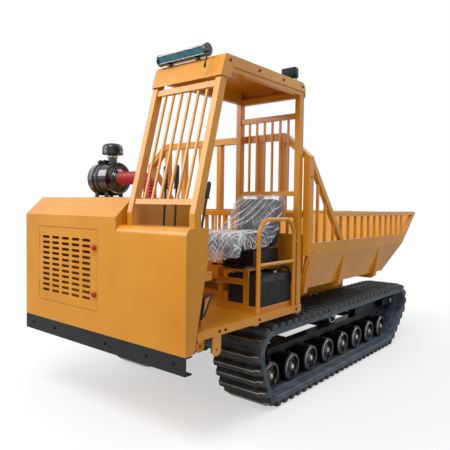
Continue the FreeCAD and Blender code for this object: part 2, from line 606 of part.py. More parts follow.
def seat_platform():
    solids = []
    flat = 12
    for x in (PLATFORM_X0, PLATFORM_X1 - 40):
        for y in (PLATFORM_Y0, PLATFORM_Y1 - flat):
            solids.append(box(x, x + 40, y, y + flat, DECK_TOP, PLATFORM_TOP))
    for y in (PLATFORM_Y0, PLATFORM_Y1 - flat):
        for z0, z1 in ((DECK_TOP, DECK_TOP + 42), (797, 838), (PLATFORM_TOP - 18, PLATFORM_TOP)):
            solids.append(box(PLATFORM_X0, PLATFORM_X1, y, y + flat, z0, z1))
    solids.append(box(PLATFORM_X0, PLATFORM_X1, PLATFORM_Y0, PLATFORM_Y1, PLATFORM_TOP - 8, PLATFORM_TOP))
    tray_x = HALF_WIDTH - 33
    solids.append(box(PLATFORM_X0 + 44, tray_x - 5, PLATFORM_Y0 + flat, PLATFORM_Y1 - 20,
                      DECK_TOP, BATTERY_Z))
    solids.append(box(tray_x - 5, tray_x, PLATFORM_Y0, PLATFORM_Y1 - 20, DECK_TOP, BATTERY_Z + 26))
    solids.append(box(PLATFORM_X1, tray_x, PLATFORM_Y0, PLATFORM_Y0 + 5, DECK_TOP, BATTERY_Z + 26))
    for x in (SEAT_X - 100, SEAT_X + 80):
        solids.append(box(x, x + 20, PLATFORM_Y0 + 5, PLATFORM_Y1 - 10, PLATFORM_TOP, PLATFORM_TOP + 9))
    return union(solids)


BATTERY_Z = 645.0
BATTERY_TOP = 866.0


def batteries():
    blocks = []
    for y0, y1 in ((706, 875), (880, 1049)):
        block = box(470, 732, y0, y1, BATTERY_Z, BATTERY_TOP - 22)
        lid = box(466, 736, y0 - 2, y1 + 2, BATTERY_TOP - 22, BATTERY_TOP)
        posts = [rod_z(x, y0 + 30, 9, BATTERY_TOP, BATTERY_TOP + 14) for x in (500, 700)]
        blocks.append(union(block, lid, posts))
    return Part.makeCompound(blocks)


def handrail():
    x, front, back, bend, top = HALF_WIDTH - 17.0, 643.0, 1042.0, 110.0, 1215.0
    edges = [Part.makeLine(V(x, front, DECK_TOP), V(x, front, top - bend))]
    turn = bend * math.sqrt(0.5)
    edges.append(Part.Arc(V(x, front, top - bend), V(x, front + bend - turn, top - bend + turn),
                          V(x, front + bend, top)).toShape())
    edges.append(Part.makeLine(V(x, front + bend, top), V(x, back - bend, top)))
    edges.append(Part.Arc(V(x, back - bend, top), V(x, back - bend + turn, top - bend + turn),
                          V(x, back, top - bend)).toShape())
    edges.append(Part.makeLine(V(x, back, top - bend), V(x, back, DECK_TOP)))
    circle = Part.Wire(Part.makeCircle(RAIL_TUBE, V(x, front, DECK_TOP), V(0, 0, 1)))
    hoop = Part.Wire(edges).makePipeShell([circle], True, False)
    return union(hoop, rod_y(x, 938, RAIL_TUBE - 2, front, back),
                 box(x - 8, x + 8, back, REAR_POST_Y, 1060, 1080))


def pillar_y(z):
    """Front face of the leaning pillars at a height."""
    return PILLAR_FOOT_Y + 5 + (PILLAR_TOP_Y + 4 - PILLAR_FOOT_Y - 5) * (z - PILLAR_BEND_Z) \
        / (PILLAR_TOP_Z - PILLAR_BEND_Z)


def cab_frame():
    left, right = CAB_X0 + 6, HALF_WIDTH - 6
    top = CAB_TOP - SKIN
    solids = []
    for x in (left, right - TUBE_X):
        solids.append(box(x, x + TUBE_X, pillar_y(PILLAR_BEND_Z), pillar_y(PILLAR_BEND_Z) + TUBE_Y,
                          CONSOLE_TOP, PILLAR_BEND_Z))
        solids.append(slanted(pillar_y(PILLAR_BEND_Z), PILLAR_BEND_Z, pillar_y(2036), 2036, TUBE_Y,
                              x, x + TUBE_X))
        solids.append(box(x, x + TUBE_X, REAR_POST_Y, REAR_POST_Y + TUBE_Y - 2, DECK_TOP, top - 42))
        solids.append(box(x, x + TUBE_X, ROOF_FRONT_Y + 54, REAR_POST_Y + 8, top - 82, top))
    for z0, z1 in ((1300, 1330), (1940, 1976)):
        y0, y1 = pillar_y(z0), pillar_y(z1)
        solids.append(prism_x([(y0 + 8, z0), (y0 + 38, z0), (y1 + 38, z1), (y1 + 8, z1)],
                              left + TUBE_X, right - TUBE_X))
    for z0, z1 in ((1368, 1400), (1885, 1920), (2020, 2060)):
        solids.append(box(left + TUBE_X, right - TUBE_X, REAR_POST_Y + 8, REAR_POST_Y + 40, z0, z1))
    inner = right - left - 2 * TUBE_X
    for k in range(FRONT_BARS):
        x = left + TUBE_X + inner * (k + 1) / (FRONT_BARS + 1) - BAR / 2
        solids.append(slanted(pillar_y(1330) + 16, 1330, pillar_y(1940) + 16, 1940, BAR, x, x + BAR))
    for k in range(REAR_BARS):
        x = left + TUBE_X + inner * (k + 1) / (REAR_BARS + 1) - BAR / 2
        solids.append(box(x, x + BAR, REAR_POST_Y + 18, REAR_POST_Y + 18 + BAR, 1400, 1885))
    return union(solids)


def cab_roof():
    def profile(t, drop):
        return [(ROOF_FRONT_Y + t - drop / 3, 1994 - drop), (ROOF_FRONT_Y + 36 + t, 2102),
                (ROOF_FRONT_Y + 46 + t, CAB_TOP - t),
                (ROOF_BACK_Y - 38 - t / 2, CAB_TOP - t), (ROOF_BACK_Y - 12 - t, CAB_TOP - 12 - t / 2),
                (ROOF_BACK_Y - t, CAB_TOP - 36), (ROOF_BACK_Y - t, 2023 - drop)]
    left, right = CAB_X0, HALF_WIDTH
    outer = prism_x(profile(0, 0) + [(ROOF_BACK_Y - SKIN, 2023), (ROOF_BACK_Y - SKIN, 2058), (360, 2058),
                                     (330, 1994)], left, right)
    inner = prism_x(profile(SKIN, 40), left + SKIN, right - SKIN)
    return outer.cut(inner)


def light_bar():
    y0, y1 = BAR_FRONT, BAR_FRONT + 66.0
    housing = box(BAR_LEFT, BAR_RIGHT, y0, y1, 2128, 2190)
    ends = [prism_x([(y0 - 4, 2124), (y1 - 12, 2124), (y1 + 4, 2140), (y1 + 4, 2180), (y1 - 12, 2194),
                     (y0 - 4, 2194)], x, x + 10) for x in (BAR_LEFT - 10, BAR_RIGHT)]
    feet = [box(x, x + 36, y0 + 18, y0 + 54, CAB_TOP, 2128) for x in (BAR_LEFT + 55, BAR_RIGHT - 90)]
    return union(housing, ends, feet)


def light_bar_lens():
    return box(BAR_LEFT, BAR_RIGHT, BAR_FRONT - 4, BAR_FRONT, 2128, 2188)


def rear_lamp():
    body = box(655, 760, 1012, 1060, 2142, 2208)
    fins = [box(658 + 14 * k, 664 + 14 * k, 1060, 1070, 2146, 2204) for k in range(8)]
    bracket = [box(690, 725, 1020, 1050, CAB_TOP, CAB_TOP + 4), box(696, 719, 1030, 1036, CAB_TOP, 2142)]
    return union(body, fins, bracket)


def air_cleaner():
    x0, x1 = CLEANER_LEFT, CLEANER_RIGHT
    body = rod_x(CLEANER_Y, CLEANER_Z, CLEANER_RADIUS, x0, x1)
    band = rod_x(CLEANER_Y, CLEANER_Z, CLEANER_RADIUS + 5, x0 + 60, x0 + 82)
    cap = rod_x(CLEANER_Y, CLEANER_Z, CLEANER_RADIUS - 14, x0 - 12, x0)
    outlet = rod_x(CLEANER_Y, CLEANER_Z, HOSE_RADIUS - 2, x1, x1 + 28)
    saddle = [box(x, x + 40, CLEANER_Y - 70, CLEANER_Y + 70, HOOD_TOP, CLEANER_Z - 60)
              for x in (x0 + 30, x1 - 70)]
    neck = rod_z(CLEANER_X, CLEANER_Y, 32, CLEANER_Z + 60, 1640)
    collar = rod_z(CLEANER_X, CLEANER_Y, 38, 1626, 1640)
    return union(body, band, cap, outlet, saddle, neck, collar)


def precleaner():
    stem = rod_z(CLEANER_X, CLEANER_Y, 33, 1640, 1652)
    bowl = rod_z(CLEANER_X, CLEANER_Y, DOME_RADIUS, 1652, 1700)
    lid = Part.makeCone(DOME_RADIUS, DOME_RADIUS - 24, 28, V(CLEANER_X, CLEANER_Y, 1700), V(0, 0, 1))
    return union(stem, bowl, lid)


def intake_hose():
    start, bend = CLEANER_RIGHT + 28.0, 92.0
    drop_x = 14.0
    run = rod_x(CLEANER_Y, CLEANER_Z, HOSE_RADIUS, start, drop_x - bend)
    elbow = Part.makeTorus(bend, HOSE_RADIUS, V(drop_x - bend, CLEANER_Y, CLEANER_Z - bend), V(0, -1, 0))
    quarter = box(drop_x - bend, drop_x + HOSE_RADIUS + 5, CLEANER_Y - 60, CLEANER_Y + 60,
                  CLEANER_Z - bend, CLEANER_Z + 60)
    drop = rod_z(drop_x, CLEANER_Y, HOSE_RADIUS, HOOD_TOP, CLEANER_Z - bend)
    return union(run, elbow.common(quarter), drop)


def drive_train():
    """Engine block on the chassis bed, gearbox below the deck, and the two axle housings."""
    block = box(-210, 190, 200, 540, RAIL_TOP, 1060)
    head = box(-170, 150, 230, 510, 1060, 1180)
    fan = rod_y(-10, 900, 150, 150, 176)
    shaft = rod_y(-10, 900, 30, 176, 200)
    gearbox = box(-200, 200, 705, 960, 300, RAIL_Z0)
    saddle = box(-RAIL_X0, RAIL_X0, 745, 885, RAIL_Z0 - 60, RAIL_Z0)
    posts = [at_side(box(RAIL_X0, RAIL_X1, 745, 885, RAIL_Z0 - 60, RAIL_Z0), side) for side in (-1, 1)]
    axles = [at_side(rod_x(SPROCKET_Y, SPROCKET_Z, 62, 190, TRACK_MID - 62), side) for side in (-1, 1)]
    bores = [at_side(rod_x(SPROCKET_Y, SPROCKET_Z, SHAFT + 8 + RUN, TRACK_MID - 165, TRACK_MID - 60), side)
             for side in (-1, 1)]
    body = union(gearbox, saddle, posts, axles)
    for bore in bores:
        body = body.cut(bore)
    return Part.makeCompound([union(block, head, fan, shaft), body])


def floor_profile():
    return [(BOX_FRONT + 14, FLOOR_Z), (FLOOR_BACK, FLOOR_Z), (TAIL_Y - 14, TAIL_Z - 8)]


def side_half(z):
    """Half width of the leaning side panels at a height."""
    lean = (BOX_HALF - FLOOR_HALF) / (SIDE_Z - FLOOR_Z)
    return min(BOX_HALF, FLOOR_HALF + (z - FLOOR_Z) * lean)


def tail_y(z):
    """The tail plate's underside at a height."""
    return FLOOR_BACK + (TAIL_Y - FLOOR_BACK) * (z - FLOOR_Z) / (TAIL_Z - FLOOR_Z)


def dump_box():
    rail_top = SIDE_Z + RAIL_HEIGHT
    front = BOX_FRONT + 14
    solids = [box(-FLOOR_HALF, FLOOR_HALF, front, FLOOR_BACK + 4, FLOOR_Z, FLOOR_Z + BOX_SHEET)]
    for side in (-1, 1):
        lean = [(FLOOR_HALF - BOX_SHEET, FLOOR_Z), (FLOOR_HALF, FLOOR_Z), (BOX_HALF, SIDE_Z),
                (BOX_HALF - BOX_SHEET, SIDE_Z)]
        panel = prism_y(lean, front, TAIL_Y)
        behind = prism_x([(FLOOR_BACK, FLOOR_Z), (tail_y(SIDE_Z), SIDE_Z), (tail_y(SIDE_Z), SIDE_Z + 5),
                          (TAIL_Y + 5, SIDE_Z + 5), (TAIL_Y + 5, FLOOR_Z - 5), (FLOOR_BACK, FLOOR_Z - 5)],
                         FLOOR_HALF - 20, BOX_HALF + 5)
        solids.append(at_side(panel.cut(behind), side))
        rail = prism_x([(BOX_FRONT, SIDE_Z), (tail_y(SIDE_Z), SIDE_Z), (tail_y(rail_top), rail_top),
                        (BOX_FRONT, rail_top)], BOX_HALF - 44, BOX_HALF)
        solids.append(at_side(rail, side))
        upper = prism_x([(tail_y(SIDE_Z), SIDE_Z), (TAIL_Y, TAIL_Z), (TAIL_Y - 60, TAIL_Z),
                         (tail_y(SIDE_Z) - 60, SIDE_Z)], BOX_HALF - 44, BOX_HALF)
        solids.append(at_side(upper, side))
        for y in (1180, 1700, 2380):
            rib = prism_y([(330, FLOOR_Z), (330, FLOOR_Z - 44), (FLOOR_HALF - 4, FLOOR_Z - 44),
                           (FLOOR_HALF + 30, FLOOR_Z - 20), (BOX_HALF - 2, SIDE_Z), (BOX_HALF - 44, SIDE_Z),
                           (FLOOR_HALF - 2, FLOOR_Z)], y, y + 45)
            solids.append(at_side(rib, side))
        sub = union(box(RAIL_X0, RAIL_X0 + SUBRAIL_WIDTH, front, HINGE_Y, HINGE_Z - 38, FLOOR_Z),
                    rod_x(HINGE_Y, HINGE_Z, 38, RAIL_X0, RAIL_X0 + SUBRAIL_WIDTH))
        solids.append(at_side(sub, side))
        for y, z in ((BOX_FRONT + 44, SIDE_Z + 24), (BOX_FRONT + 44, SIDE_Z + 62),
                     (BOX_FRONT + 90, SIDE_Z + 24)):
            solids.append(at_side(hex_head((BOX_HALF - 1, y, z), (1, 0, 0), 11, 8), side))
    for y in SUBFRAME_CROSS:
        solids.append(box(-RAIL_X0 - 5, RAIL_X0 + 5, y, y + 40, FLOOR_Z - 30, FLOOR_Z))
    tail = prism_x([(FLOOR_BACK, FLOOR_Z), (TAIL_Y, TAIL_Z), (TAIL_Y - 8, TAIL_Z), (FLOOR_BACK - 8, FLOOR_Z)],
                   -BOX_HALF + 44, BOX_HALF - 44)
    for side in (-1, 1):
        wedge = prism_y([(BOX_HALF - 60, FLOOR_Z - 1), (BOX_HALF - 30, FLOOR_Z - 1), (BOX_HALF - 30, SIDE_Z),
                         (side_half(SIDE_Z) - 45, SIDE_Z)], FLOOR_BACK - 10, TAIL_Y)
        outside = prism_y([(side_half(FLOOR_Z), FLOOR_Z - 2), (BOX_HALF + 40, FLOOR_Z - 2),
                           (BOX_HALF + 40, SIDE_Z), (BOX_HALF, SIDE_Z)], FLOOR_BACK - 20, TAIL_Y)
        tail = tail.cut(at_side(outside, side))
    solids.append(tail)
    lip = prism_x([(TAIL_Y - 46, TAIL_Z), (TAIL_Y - 46, TAIL_Z - 24), (TAIL_Y - 29.5, TAIL_Z - 24),
                   (TAIL_Y, TAIL_Z)],
                  -BOX_HALF + 44, BOX_HALF - 44)
    solids.append(lip)
    ears = [box(x, x + 12, LIFT_TOP_Y - 34, LIFT_TOP_Y + 34, LIFT_TOP_Z, FLOOR_Z) for x in (-41, 29)]
    ears += [rod_x(LIFT_TOP_Y, LIFT_TOP_Z, 34, x, x + 12) for x in (-41, 29)]
    stubs = [rod_x(LIFT_TOP_Y, LIFT_TOP_Z, HINGE_PIN, x, x + 10) for x in (-50, 40)]
    body = union(solids + ears + stubs)
    for side in (-1, 1):
        bore = rod_x(HINGE_Y, HINGE_Z, HINGE_PIN + RUN, RAIL_X0 - 5, RAIL_X0 + SUBRAIL_WIDTH + 5)
        body = body.cut(at_side(bore, side))
    return body


def headboard():
    y0, y1 = BOX_FRONT, BOX_FRONT + HEAD_DEPTH
    rail_top = SIDE_Z + RAIL_HEIGHT
    inner = (HEAD_TOP_HALF - HEAD_POST / 2) / 3
    solids = []
    for side in (-1, 1):
        outer = box(BOX_HALF - HEAD_POST, BOX_HALF, y0, y1, rail_top, HEAD_SHOULDER_Z)
        chamfer = prism_y([(BOX_HALF, HEAD_SHOULDER_Z), (HEAD_TOP_HALF, HEAD_TOP),
                           (HEAD_TOP_HALF - HEAD_POST * 0.4, HEAD_TOP - HEAD_POST),
                           (BOX_HALF - HEAD_POST, HEAD_SHOULDER_Z - 12)], y0, y1)
        solids.append(at_side(outer.cut(rod_x(y0 + 30, 1500, 9, BOX_HALF - 60, BOX_HALF + 5)), side))
        solids.append(at_side(chamfer, side))
        for k in (1, 2, 3):
            x = inner * k
            solids.append(at_side(box(x - 20, x + 20, y0 + 8, y1 - 8, 1245, HEAD_TOP - 20), side))
        solids.append(at_side(box(HEAD_TOP_HALF - 17, BOX_HALF - HEAD_POST, y0 + 4, y1 - 4, 1221, 1257),
                              side))
    solids.append(box(-20, 20, y0 + 8, y1 - 8, 1245, HEAD_TOP - 20))
    solids.append(box(-HEAD_TOP_HALF, HEAD_TOP_HALF, y0, y1, HEAD_TOP - HEAD_POST, HEAD_TOP))
    solids.append(box(-BOX_HALF + HEAD_POST, BOX_HALF - HEAD_POST, y0 + 4, y1 - 4, 1221, 1257))
    plate_top = 1110.0
    panel = prism_y([(-FLOOR_HALF, FLOOR_Z), (FLOOR_HALF, FLOOR_Z), (BOX_HALF - 45, SIDE_Z - 100),
                     (BOX_HALF - 45, plate_top), (-BOX_HALF + 45, plate_top), (-BOX_HALF + 45, SIDE_Z - 100)],
                    y0 + 6, y0 + 14)
    solids.append(panel)
    solids.append(box(-BOX_HALF + 45, BOX_HALF - 45, y0 + 4, y0 + 44, plate_top - 30, plate_top))
    count = 2 * int((BOX_HALF - HEAD_POST) / 65)
    span = 2 * (BOX_HALF - HEAD_POST)
    for k in range(1, count):
        x = -BOX_HALF + HEAD_POST + span * k / count
        solids.append(box(x - 8, x + 8, y0 + 18, y0 + 34, plate_top, 1221))
    return union(solids)


def side_rack():
    """Rack on the +X side: top rail, upright bars and the brace tube at the front."""
    x0, x1 = BOX_HALF - 38, BOX_HALF - 4
    rail_top = SIDE_Z + RAIL_HEIGHT
    brace_low, brace_high = (1690.0, rail_top), (1190.0, 1636.0)
    solids = []
    brace_at_rack = brace_low[0] + (brace_high[0] - brace_low[0]) * (RACK_Z0 + RACK_HEIGHT - brace_low[1]) \
        / (brace_high[1] - brace_low[1])
    rack_top = RACK_Z0 + RACK_HEIGHT
    solids.append(prism_x([(brace_at_rack, RACK_Z0), (tail_y(RACK_Z0) - 60, RACK_Z0),
                           (tail_y(rack_top) - 60, rack_top), (brace_at_rack, rack_top)], x0, x1))
    solids.append(prism_x([(BOX_FRONT + HEAD_DEPTH, 1570), (BOX_FRONT + HEAD_DEPTH, 1632), brace_low,
                           (brace_low[0] - 50, rail_top)], x0, x1))
    first, pitch = 1413.0, 126.5
    y = 1301.0
    lines = []
    while y < tail_y(rail_top) - 20:
        lines.append(y)
        y += 112.0 if y < first else pitch
    for y in lines:
        under = brace_high[1] + (brace_low[1] - brace_high[1]) * (y + 10 - brace_high[0]) \
            / (brace_low[0] - brace_high[0])
        top = max(RACK_Z0, under - 40) if y < brace_at_rack else RACK_Z0
        if top > rail_top + 20:
            solids.append(box(x0 + 8, x1 - 8, y - 9, y + 9, rail_top, top))
    return union(solids)


def lift_direction():
    step = V(0, LIFT_TOP_Y - LIFT_FOOT_Y, LIFT_TOP_Z - LIFT_FOOT_Z)
    return step.Length, step.normalize()


def along_lift(distance):
    length, step = lift_direction()
    return (0, LIFT_FOOT_Y + step.y * distance, LIFT_FOOT_Z + step.z * distance)


def cylinder_barrel():
    length, step = lift_direction()
    mouth = length - EYE_RADIUS - 20
    eye = rod_x(LIFT_FOOT_Y, LIFT_FOOT_Z, EYE_RADIUS, -BARREL_RADIUS + 1, BARREL_RADIUS - 1)
    tube = rod_between(along_lift(20), along_lift(mouth), BARREL_RADIUS)
    hollow = rod_between(along_lift(34), along_lift(mouth - 12), BARREL_RADIUS - 7)
    bore = rod_between(along_lift(mouth - 20), along_lift(mouth + 2), ROD_RADIUS + RUN)
    body = union(eye, tube).cut(hollow).cut(bore)
    return body.cut(rod_x(LIFT_FOOT_Y, LIFT_FOOT_Z, HINGE_PIN + RUN, -60, 60))


def cylinder_rod():
    length, step = lift_direction()
    piston = rod_between(along_lift(36), along_lift(51), BARREL_RADIUS - 7 - RUN)
    shaft = rod_between(along_lift(44), along_lift(length - 10), ROD_RADIUS)
    eye = rod_x(LIFT_TOP_Y, LIFT_TOP_Z, EYE_RADIUS, -25, 25)
    return union(piston, shaft, eye).cut(rod_x(LIFT_TOP_Y, LIFT_TOP_Z, HINGE_PIN + RUN, -30, 30))


def seat_base():
    solids = [box(SEAT_X - 120, SEAT_X + 130, 730, 1010, PLATFORM_TOP + 24, 1020)]
    for x in (SEAT_X - 100, SEAT_X + 80):
        solids.append(box(x, x + 20, 715, 1035, PLATFORM_TOP + 9 + RUN, PLATFORM_TOP + 24))
    handle = rod_between((SEAT_X - 60, 690, PLATFORM_TOP + 17), (SEAT_X - 60, 735, PLATFORM_TOP + 32), 6)
    return union(solids, handle)


def softened(shape, radius):
    return shape.makeFillet(radius, shape.Edges)


def seat_cushion():
    return softened(box(SEAT_X - CUSHION_HALF, SEAT_X + CUSHION_HALF, 482, 900, 1020, 1112), 24)


def seat_backrest():
    half = CUSHION_HALF - 12
    back = prism_x([(903, 1020), (985, 1020), (1020, 1358), (950, 1358)], SEAT_X - half, SEAT_X + half)
    return softened(back, 20)


def cord(points, radius):
    """Tube along straight runs joined by tangent arcs, each as large as its runs allow."""
    spots = [V(*p) for p in points]
    edges, at = [], spots[0]
    for k in range(1, len(spots) - 1):
        before, after = spots[k - 1] - spots[k], spots[k + 1] - spots[k]
        turn = math.pi - before.getAngle(after)
        bend = 0.45 * min(before.Length, after.Length) / math.tan(turn / 2)
        reach = bend * math.tan(turn / 2)
        start = spots[k] + V(before).normalize() * reach
        end = spots[k] + V(after).normalize() * reach
        inward = (V(before).normalize() + V(after).normalize()).normalize()
        middle = spots[k] + inward * (bend / math.cos(turn / 2) - bend)
        edges.append(Part.makeLine(at, start))
        edges.append(Part.Arc(start, middle, end).toShape())
        at = end
        print("bend radius", round(bend, 1))
    edges.append(Part.makeLine(at, spots[-1]))
    path = Part.Wire(edges)
    circle = Part.Wire(Part.makeCircle(radius, spots[0], spots[1] - spots[0]))
    tube = path.makePipeShell([circle], True, False)
    ratio = tube.Volume / (math.pi * radius ** 2 * path.Length)
    print("tube volume over section times length", round(ratio, 4))
    return tube


CABLE_RADIUS = 7.0
CABLE_POINTS = [(700, 906, 887.3), (701, 960, 896), (703, 1012, 899), (706, 1056, 885), (709, 1082, 846),
                (707, 1088, 798), (700, 1080, 752), (692, 1066, 710), (690, 1062, 660)]
LEAD_RADIUS = 4.0
LEAD_POINTS = [(650.3, 292, 2150), (668, 292, 2150), (683, 278, 2146), (690, 258, 2136), (688, 241, 2116),
               (680, 235, 2086), (671, 236, 2052)]


def battery_cable():
    x, y, z = CABLE_POINTS[-1]
    lug = box(x - 10, x + 10, y - 9, y + 9, BATTERY_Z, z - 1.5)
    return Part.makeCompound([cord(CABLE_POINTS, CABLE_RADIUS), lug])


def lamp_lead():
    return cord(LEAD_POINTS, LEAD_RADIUS)


def chassis_bolts():
    heads = []
    for x, y, z in ((HALF_WIDTH, 265, 614), (HALF_WIDTH, 317, 614), (HALF_WIDTH, 640, 614),
                    (HALF_WIDTH, 1060, 614), (HALF_WIDTH, 330, 2088), (HALF_WIDTH, 600, 2088),
                    (HALF_WIDTH, 860, 2088), (HALF_WIDTH, 1090, 2088)):
        heads.append(hex_head((x, y, z), (1, 0, 0), 8, 5))
    for x in (-680, -420, 120, 480, 690):
        heads.append(hex_head((x, 0, SILL_Z - BUMPER_HEIGHT / 2), (0, -1, 0), 9, 6))
    return Part.makeCompound(heads)


def export(name, shape):
    shape.translate(V(0, STAND_Y, 0))
    shape.exportStep("parts/" + name + ".step")


def main():
    os.makedirs("parts", exist_ok=True)
    parts = {
        "chassis_frame": chassis_frame(), "track_frames": track_frames(), "front_bumper": front_bumper(),
        "engine_hood": engine_hood(), "service_door": service_door(), "front_console": front_console(),
        "drive_train": drive_train(), "operator_deck": operator_deck(), "seat_platform": seat_platform(),
        "batteries": batteries(), "battery_cable": battery_cable(), "handrail": handrail(),
        "cab_frame": cab_frame(), "cab_roof": cab_roof(), "light_bar": light_bar(),
        "light_bar_lens": light_bar_lens(), "lamp_lead": lamp_lead(), "rear_lamp": rear_lamp(),
        "air_cleaner": air_cleaner(), "precleaner": precleaner(), "intake_hose": intake_hose(),
        "seat_base": seat_base(), "seat_cushion": seat_cushion(), "seat_backrest": seat_backrest(),
        "brake_pedal": brake_pedal(), "dump_box": dump_box(), "headboard": headboard(),
        "cylinder_barrel": cylinder_barrel(), "cylinder_rod": cylinder_rod(),
        "chassis_bolts": chassis_bolts(),
        "side_racks": Part.makeCompound([side_rack(), mirrored(side_rack())]),
        "gear_lever": lever(GEAR_X, GEAR_Y, GEAR_Z, (206, 1181), (262, 1418), 78, 13),
    }
    for place, z in (("lower", 756), ("upper", 1037)):
        parts["door_knob_" + place] = door_knob(z)
    for side, x in zip(("right", "left"), STEER_X):
        parts["steering_lever_" + side] = lever(x, STEER_Y, STEER_Z, (300, 1340), (306, 1524), 126, 15)
    belt = track_belt()
    for side, sign in (("left", 1), ("right", -1)):
        parts["track_belt_" + side] = at_side(belt, sign)
        parts["sprocket_" + side] = at_side(sprocket(), sign)
        parts["idler_" + side] = at_side(idler(), sign)
        parts["carrier_roller_" + side] = at_side(carrier_roller(), sign)
        for k in range(ROLLERS):
            name = "lower_roller_%s_%d" % (side, k + 1)
            parts[name] = at_side(lower_roller(ROLLER_Y0 + ROLLER_PITCH * k), sign)
    for name, shape in parts.items():
        export(name, shape)
    print(len(parts), "nodes")


main()
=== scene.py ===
import json
import math
import bmesh
import bpy
import numpy as np
from mathutils import Matrix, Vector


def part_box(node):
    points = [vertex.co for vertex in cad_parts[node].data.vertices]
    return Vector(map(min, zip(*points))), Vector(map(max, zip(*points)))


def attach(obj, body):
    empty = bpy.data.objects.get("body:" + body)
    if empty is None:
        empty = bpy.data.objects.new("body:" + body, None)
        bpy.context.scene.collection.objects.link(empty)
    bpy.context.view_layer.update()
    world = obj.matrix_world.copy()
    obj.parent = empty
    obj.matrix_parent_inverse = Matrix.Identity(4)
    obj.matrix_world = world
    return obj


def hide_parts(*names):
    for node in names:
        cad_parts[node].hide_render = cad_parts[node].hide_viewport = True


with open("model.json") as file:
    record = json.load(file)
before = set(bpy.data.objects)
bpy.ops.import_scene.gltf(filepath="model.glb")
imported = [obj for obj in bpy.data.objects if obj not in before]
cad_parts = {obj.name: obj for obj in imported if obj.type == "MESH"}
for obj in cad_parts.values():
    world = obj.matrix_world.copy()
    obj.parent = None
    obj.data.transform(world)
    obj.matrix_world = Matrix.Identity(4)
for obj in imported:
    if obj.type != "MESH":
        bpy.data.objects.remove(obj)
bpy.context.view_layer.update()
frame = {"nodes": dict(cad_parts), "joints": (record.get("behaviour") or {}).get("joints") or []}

# Points are written in millimetres: X across from the centre line, Y back from the bumper's
# front face, Z up from the ground. placed() turns them into metres in the shared frame.
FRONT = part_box("front_bumper")[0][1]
PIVOT = {joint["name"]: joint.get("pos_m") for joint in frame["joints"]}


def placed(points):
    """Points in this script's millimetres as metres in the shared frame."""
    metres = np.asarray(points, float) / 1000.0
    metres[..., 1] += FRONT
    return metres


def measured(node):
    """A CAD node's lowest and highest corners in this script's millimetres."""
    low, high = (np.array(corner, float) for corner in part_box(node))
    low[1] -= FRONT
    high[1] -= FRONT
    return low * 1000.0, high * 1000.0


def joint_place(name):
    """A point on a joint's axis in this script's millimetres."""
    spot = np.array(PIVOT[name], float)
    spot[1] -= FRONT
    return spot * 1000.0


def unit(vector):
    """The vector made one long."""
    return vector / np.linalg.norm(vector)


def linked(name, data=None):
    """A new object that holds data, in the scene."""
    made = bpy.data.objects.new(name, data)
    bpy.context.scene.collection.objects.link(made)
    return made


# ---------------------------------------------------------------- camera and light

def set_camera():
    """A 39 mm lens on a 36 mm frame, level with the seat, off the front corner."""
    right = (0.7711, 0.6365, 0.0134)
    up = (-0.0359, 0.0225, 0.9991)
    forward = (-0.6357, 0.7709, -0.0402)
    camera = linked("camera", bpy.data.cameras.new("camera"))
    camera.data.lens = 39.34
    camera.data.sensor_width = 36.0
    camera.data.clip_end = 200.0
    turn = Matrix((right, up, [-v for v in forward])).transposed().to_4x4()
    camera.matrix_world = Matrix.Translation(placed([2478.0, -1765.0, 1300.0])) @ turn
    bpy.context.scene.camera = camera


def add_lamp(name, spot, target, size, power):
    """A square area lamp at spot that points at target; metres."""
    lamp = bpy.data.lights.new(name, "AREA")
    lamp.size = size
    lamp.energy = power
    away = unit(np.array(spot, float) - np.array(target, float))
    side = unit(np.cross((0.0, 0.0, 1.0), away))
    turn = Matrix((side, np.cross(away, side), away)).transposed().to_4x4()
    linked(name, lamp).matrix_world = Matrix.Translation(spot) @ turn


# ---------------------------------------------------------------- materials

def linear(code):
    """An sRGB hex colour as linear red, green, blue and alpha."""
    values = np.array([int(code[k:k + 2], 16) for k in (1, 3, 5)]) / 255.0
    low, high = values / 12.92, ((values + 0.055) / 1.055) ** 2.4
    return (*np.where(values <= 0.04045, low, high).tolist(), 1.0)


def add(tree, kind, inputs=None, **settings):
    """One node of this kind, with its settings, and its inputs set or linked."""
    made = tree.nodes.new("ShaderNode" + kind)
    for name, value in settings.items():
        setattr(made, name, value)
    for name, value in (inputs or {}).items():
        if isinstance(value, bpy.types.NodeSocket):
            tree.links.new(value, made.inputs[name])
        else:
            made.inputs[name].default_value = value
    return made


def new_material(name, **shader):
    """A material with one principled shader, whose sockets take the values given."""
    material = bpy.data.materials.new(name)
    material.use_nodes = True
    tree = material.node_tree
    surface = tree.nodes["Principled BSDF"]
    for socket, value in shader.items():
        surface.inputs[socket.replace("_", " ").title().replace("Ior", "IOR")].default_value = value
    where = add(tree, "TexCoord").outputs["Object"]
    return material, tree, surface, where


def grain(tree, where, size_mm, detail=2.0, roughness=0.5, stretch=None):
    """Noise whose lumps are about size_mm across; stretch draws it out along an axis."""
    if stretch:
        where = add(tree, "Mapping", {"Vector": where, "Scale": stretch}).outputs["Vector"]
    return add(tree, "TexNoise", {"Vector": where, "Scale": 1000.0 / size_mm, "Detail": detail,
                                  "Roughness": roughness}).outputs["Fac"]


def spread(tree, value, low, high, to_low=0.0, to_high=1.0):
    """value from low..high mapped onto to_low..to_high, and held at the ends."""
    return add(tree, "MapRange", {"Value": value, "From Min": low, "From Max": high,
                                  "To Min": to_low, "To Max": to_high}).outputs["Result"]


def blended(tree, factor, first, second):
    """The first colour where factor is 0, the second where it is 1."""
    made = add(tree, "Mix", data_type="RGBA")
    for index, value in ((0, factor), (6, first), (7, second)):
        if isinstance(value, bpy.types.NodeSocket):
            tree.links.new(value, made.inputs[index])
        else:
            made.inputs[index].default_value = value
    return made.outputs[2]


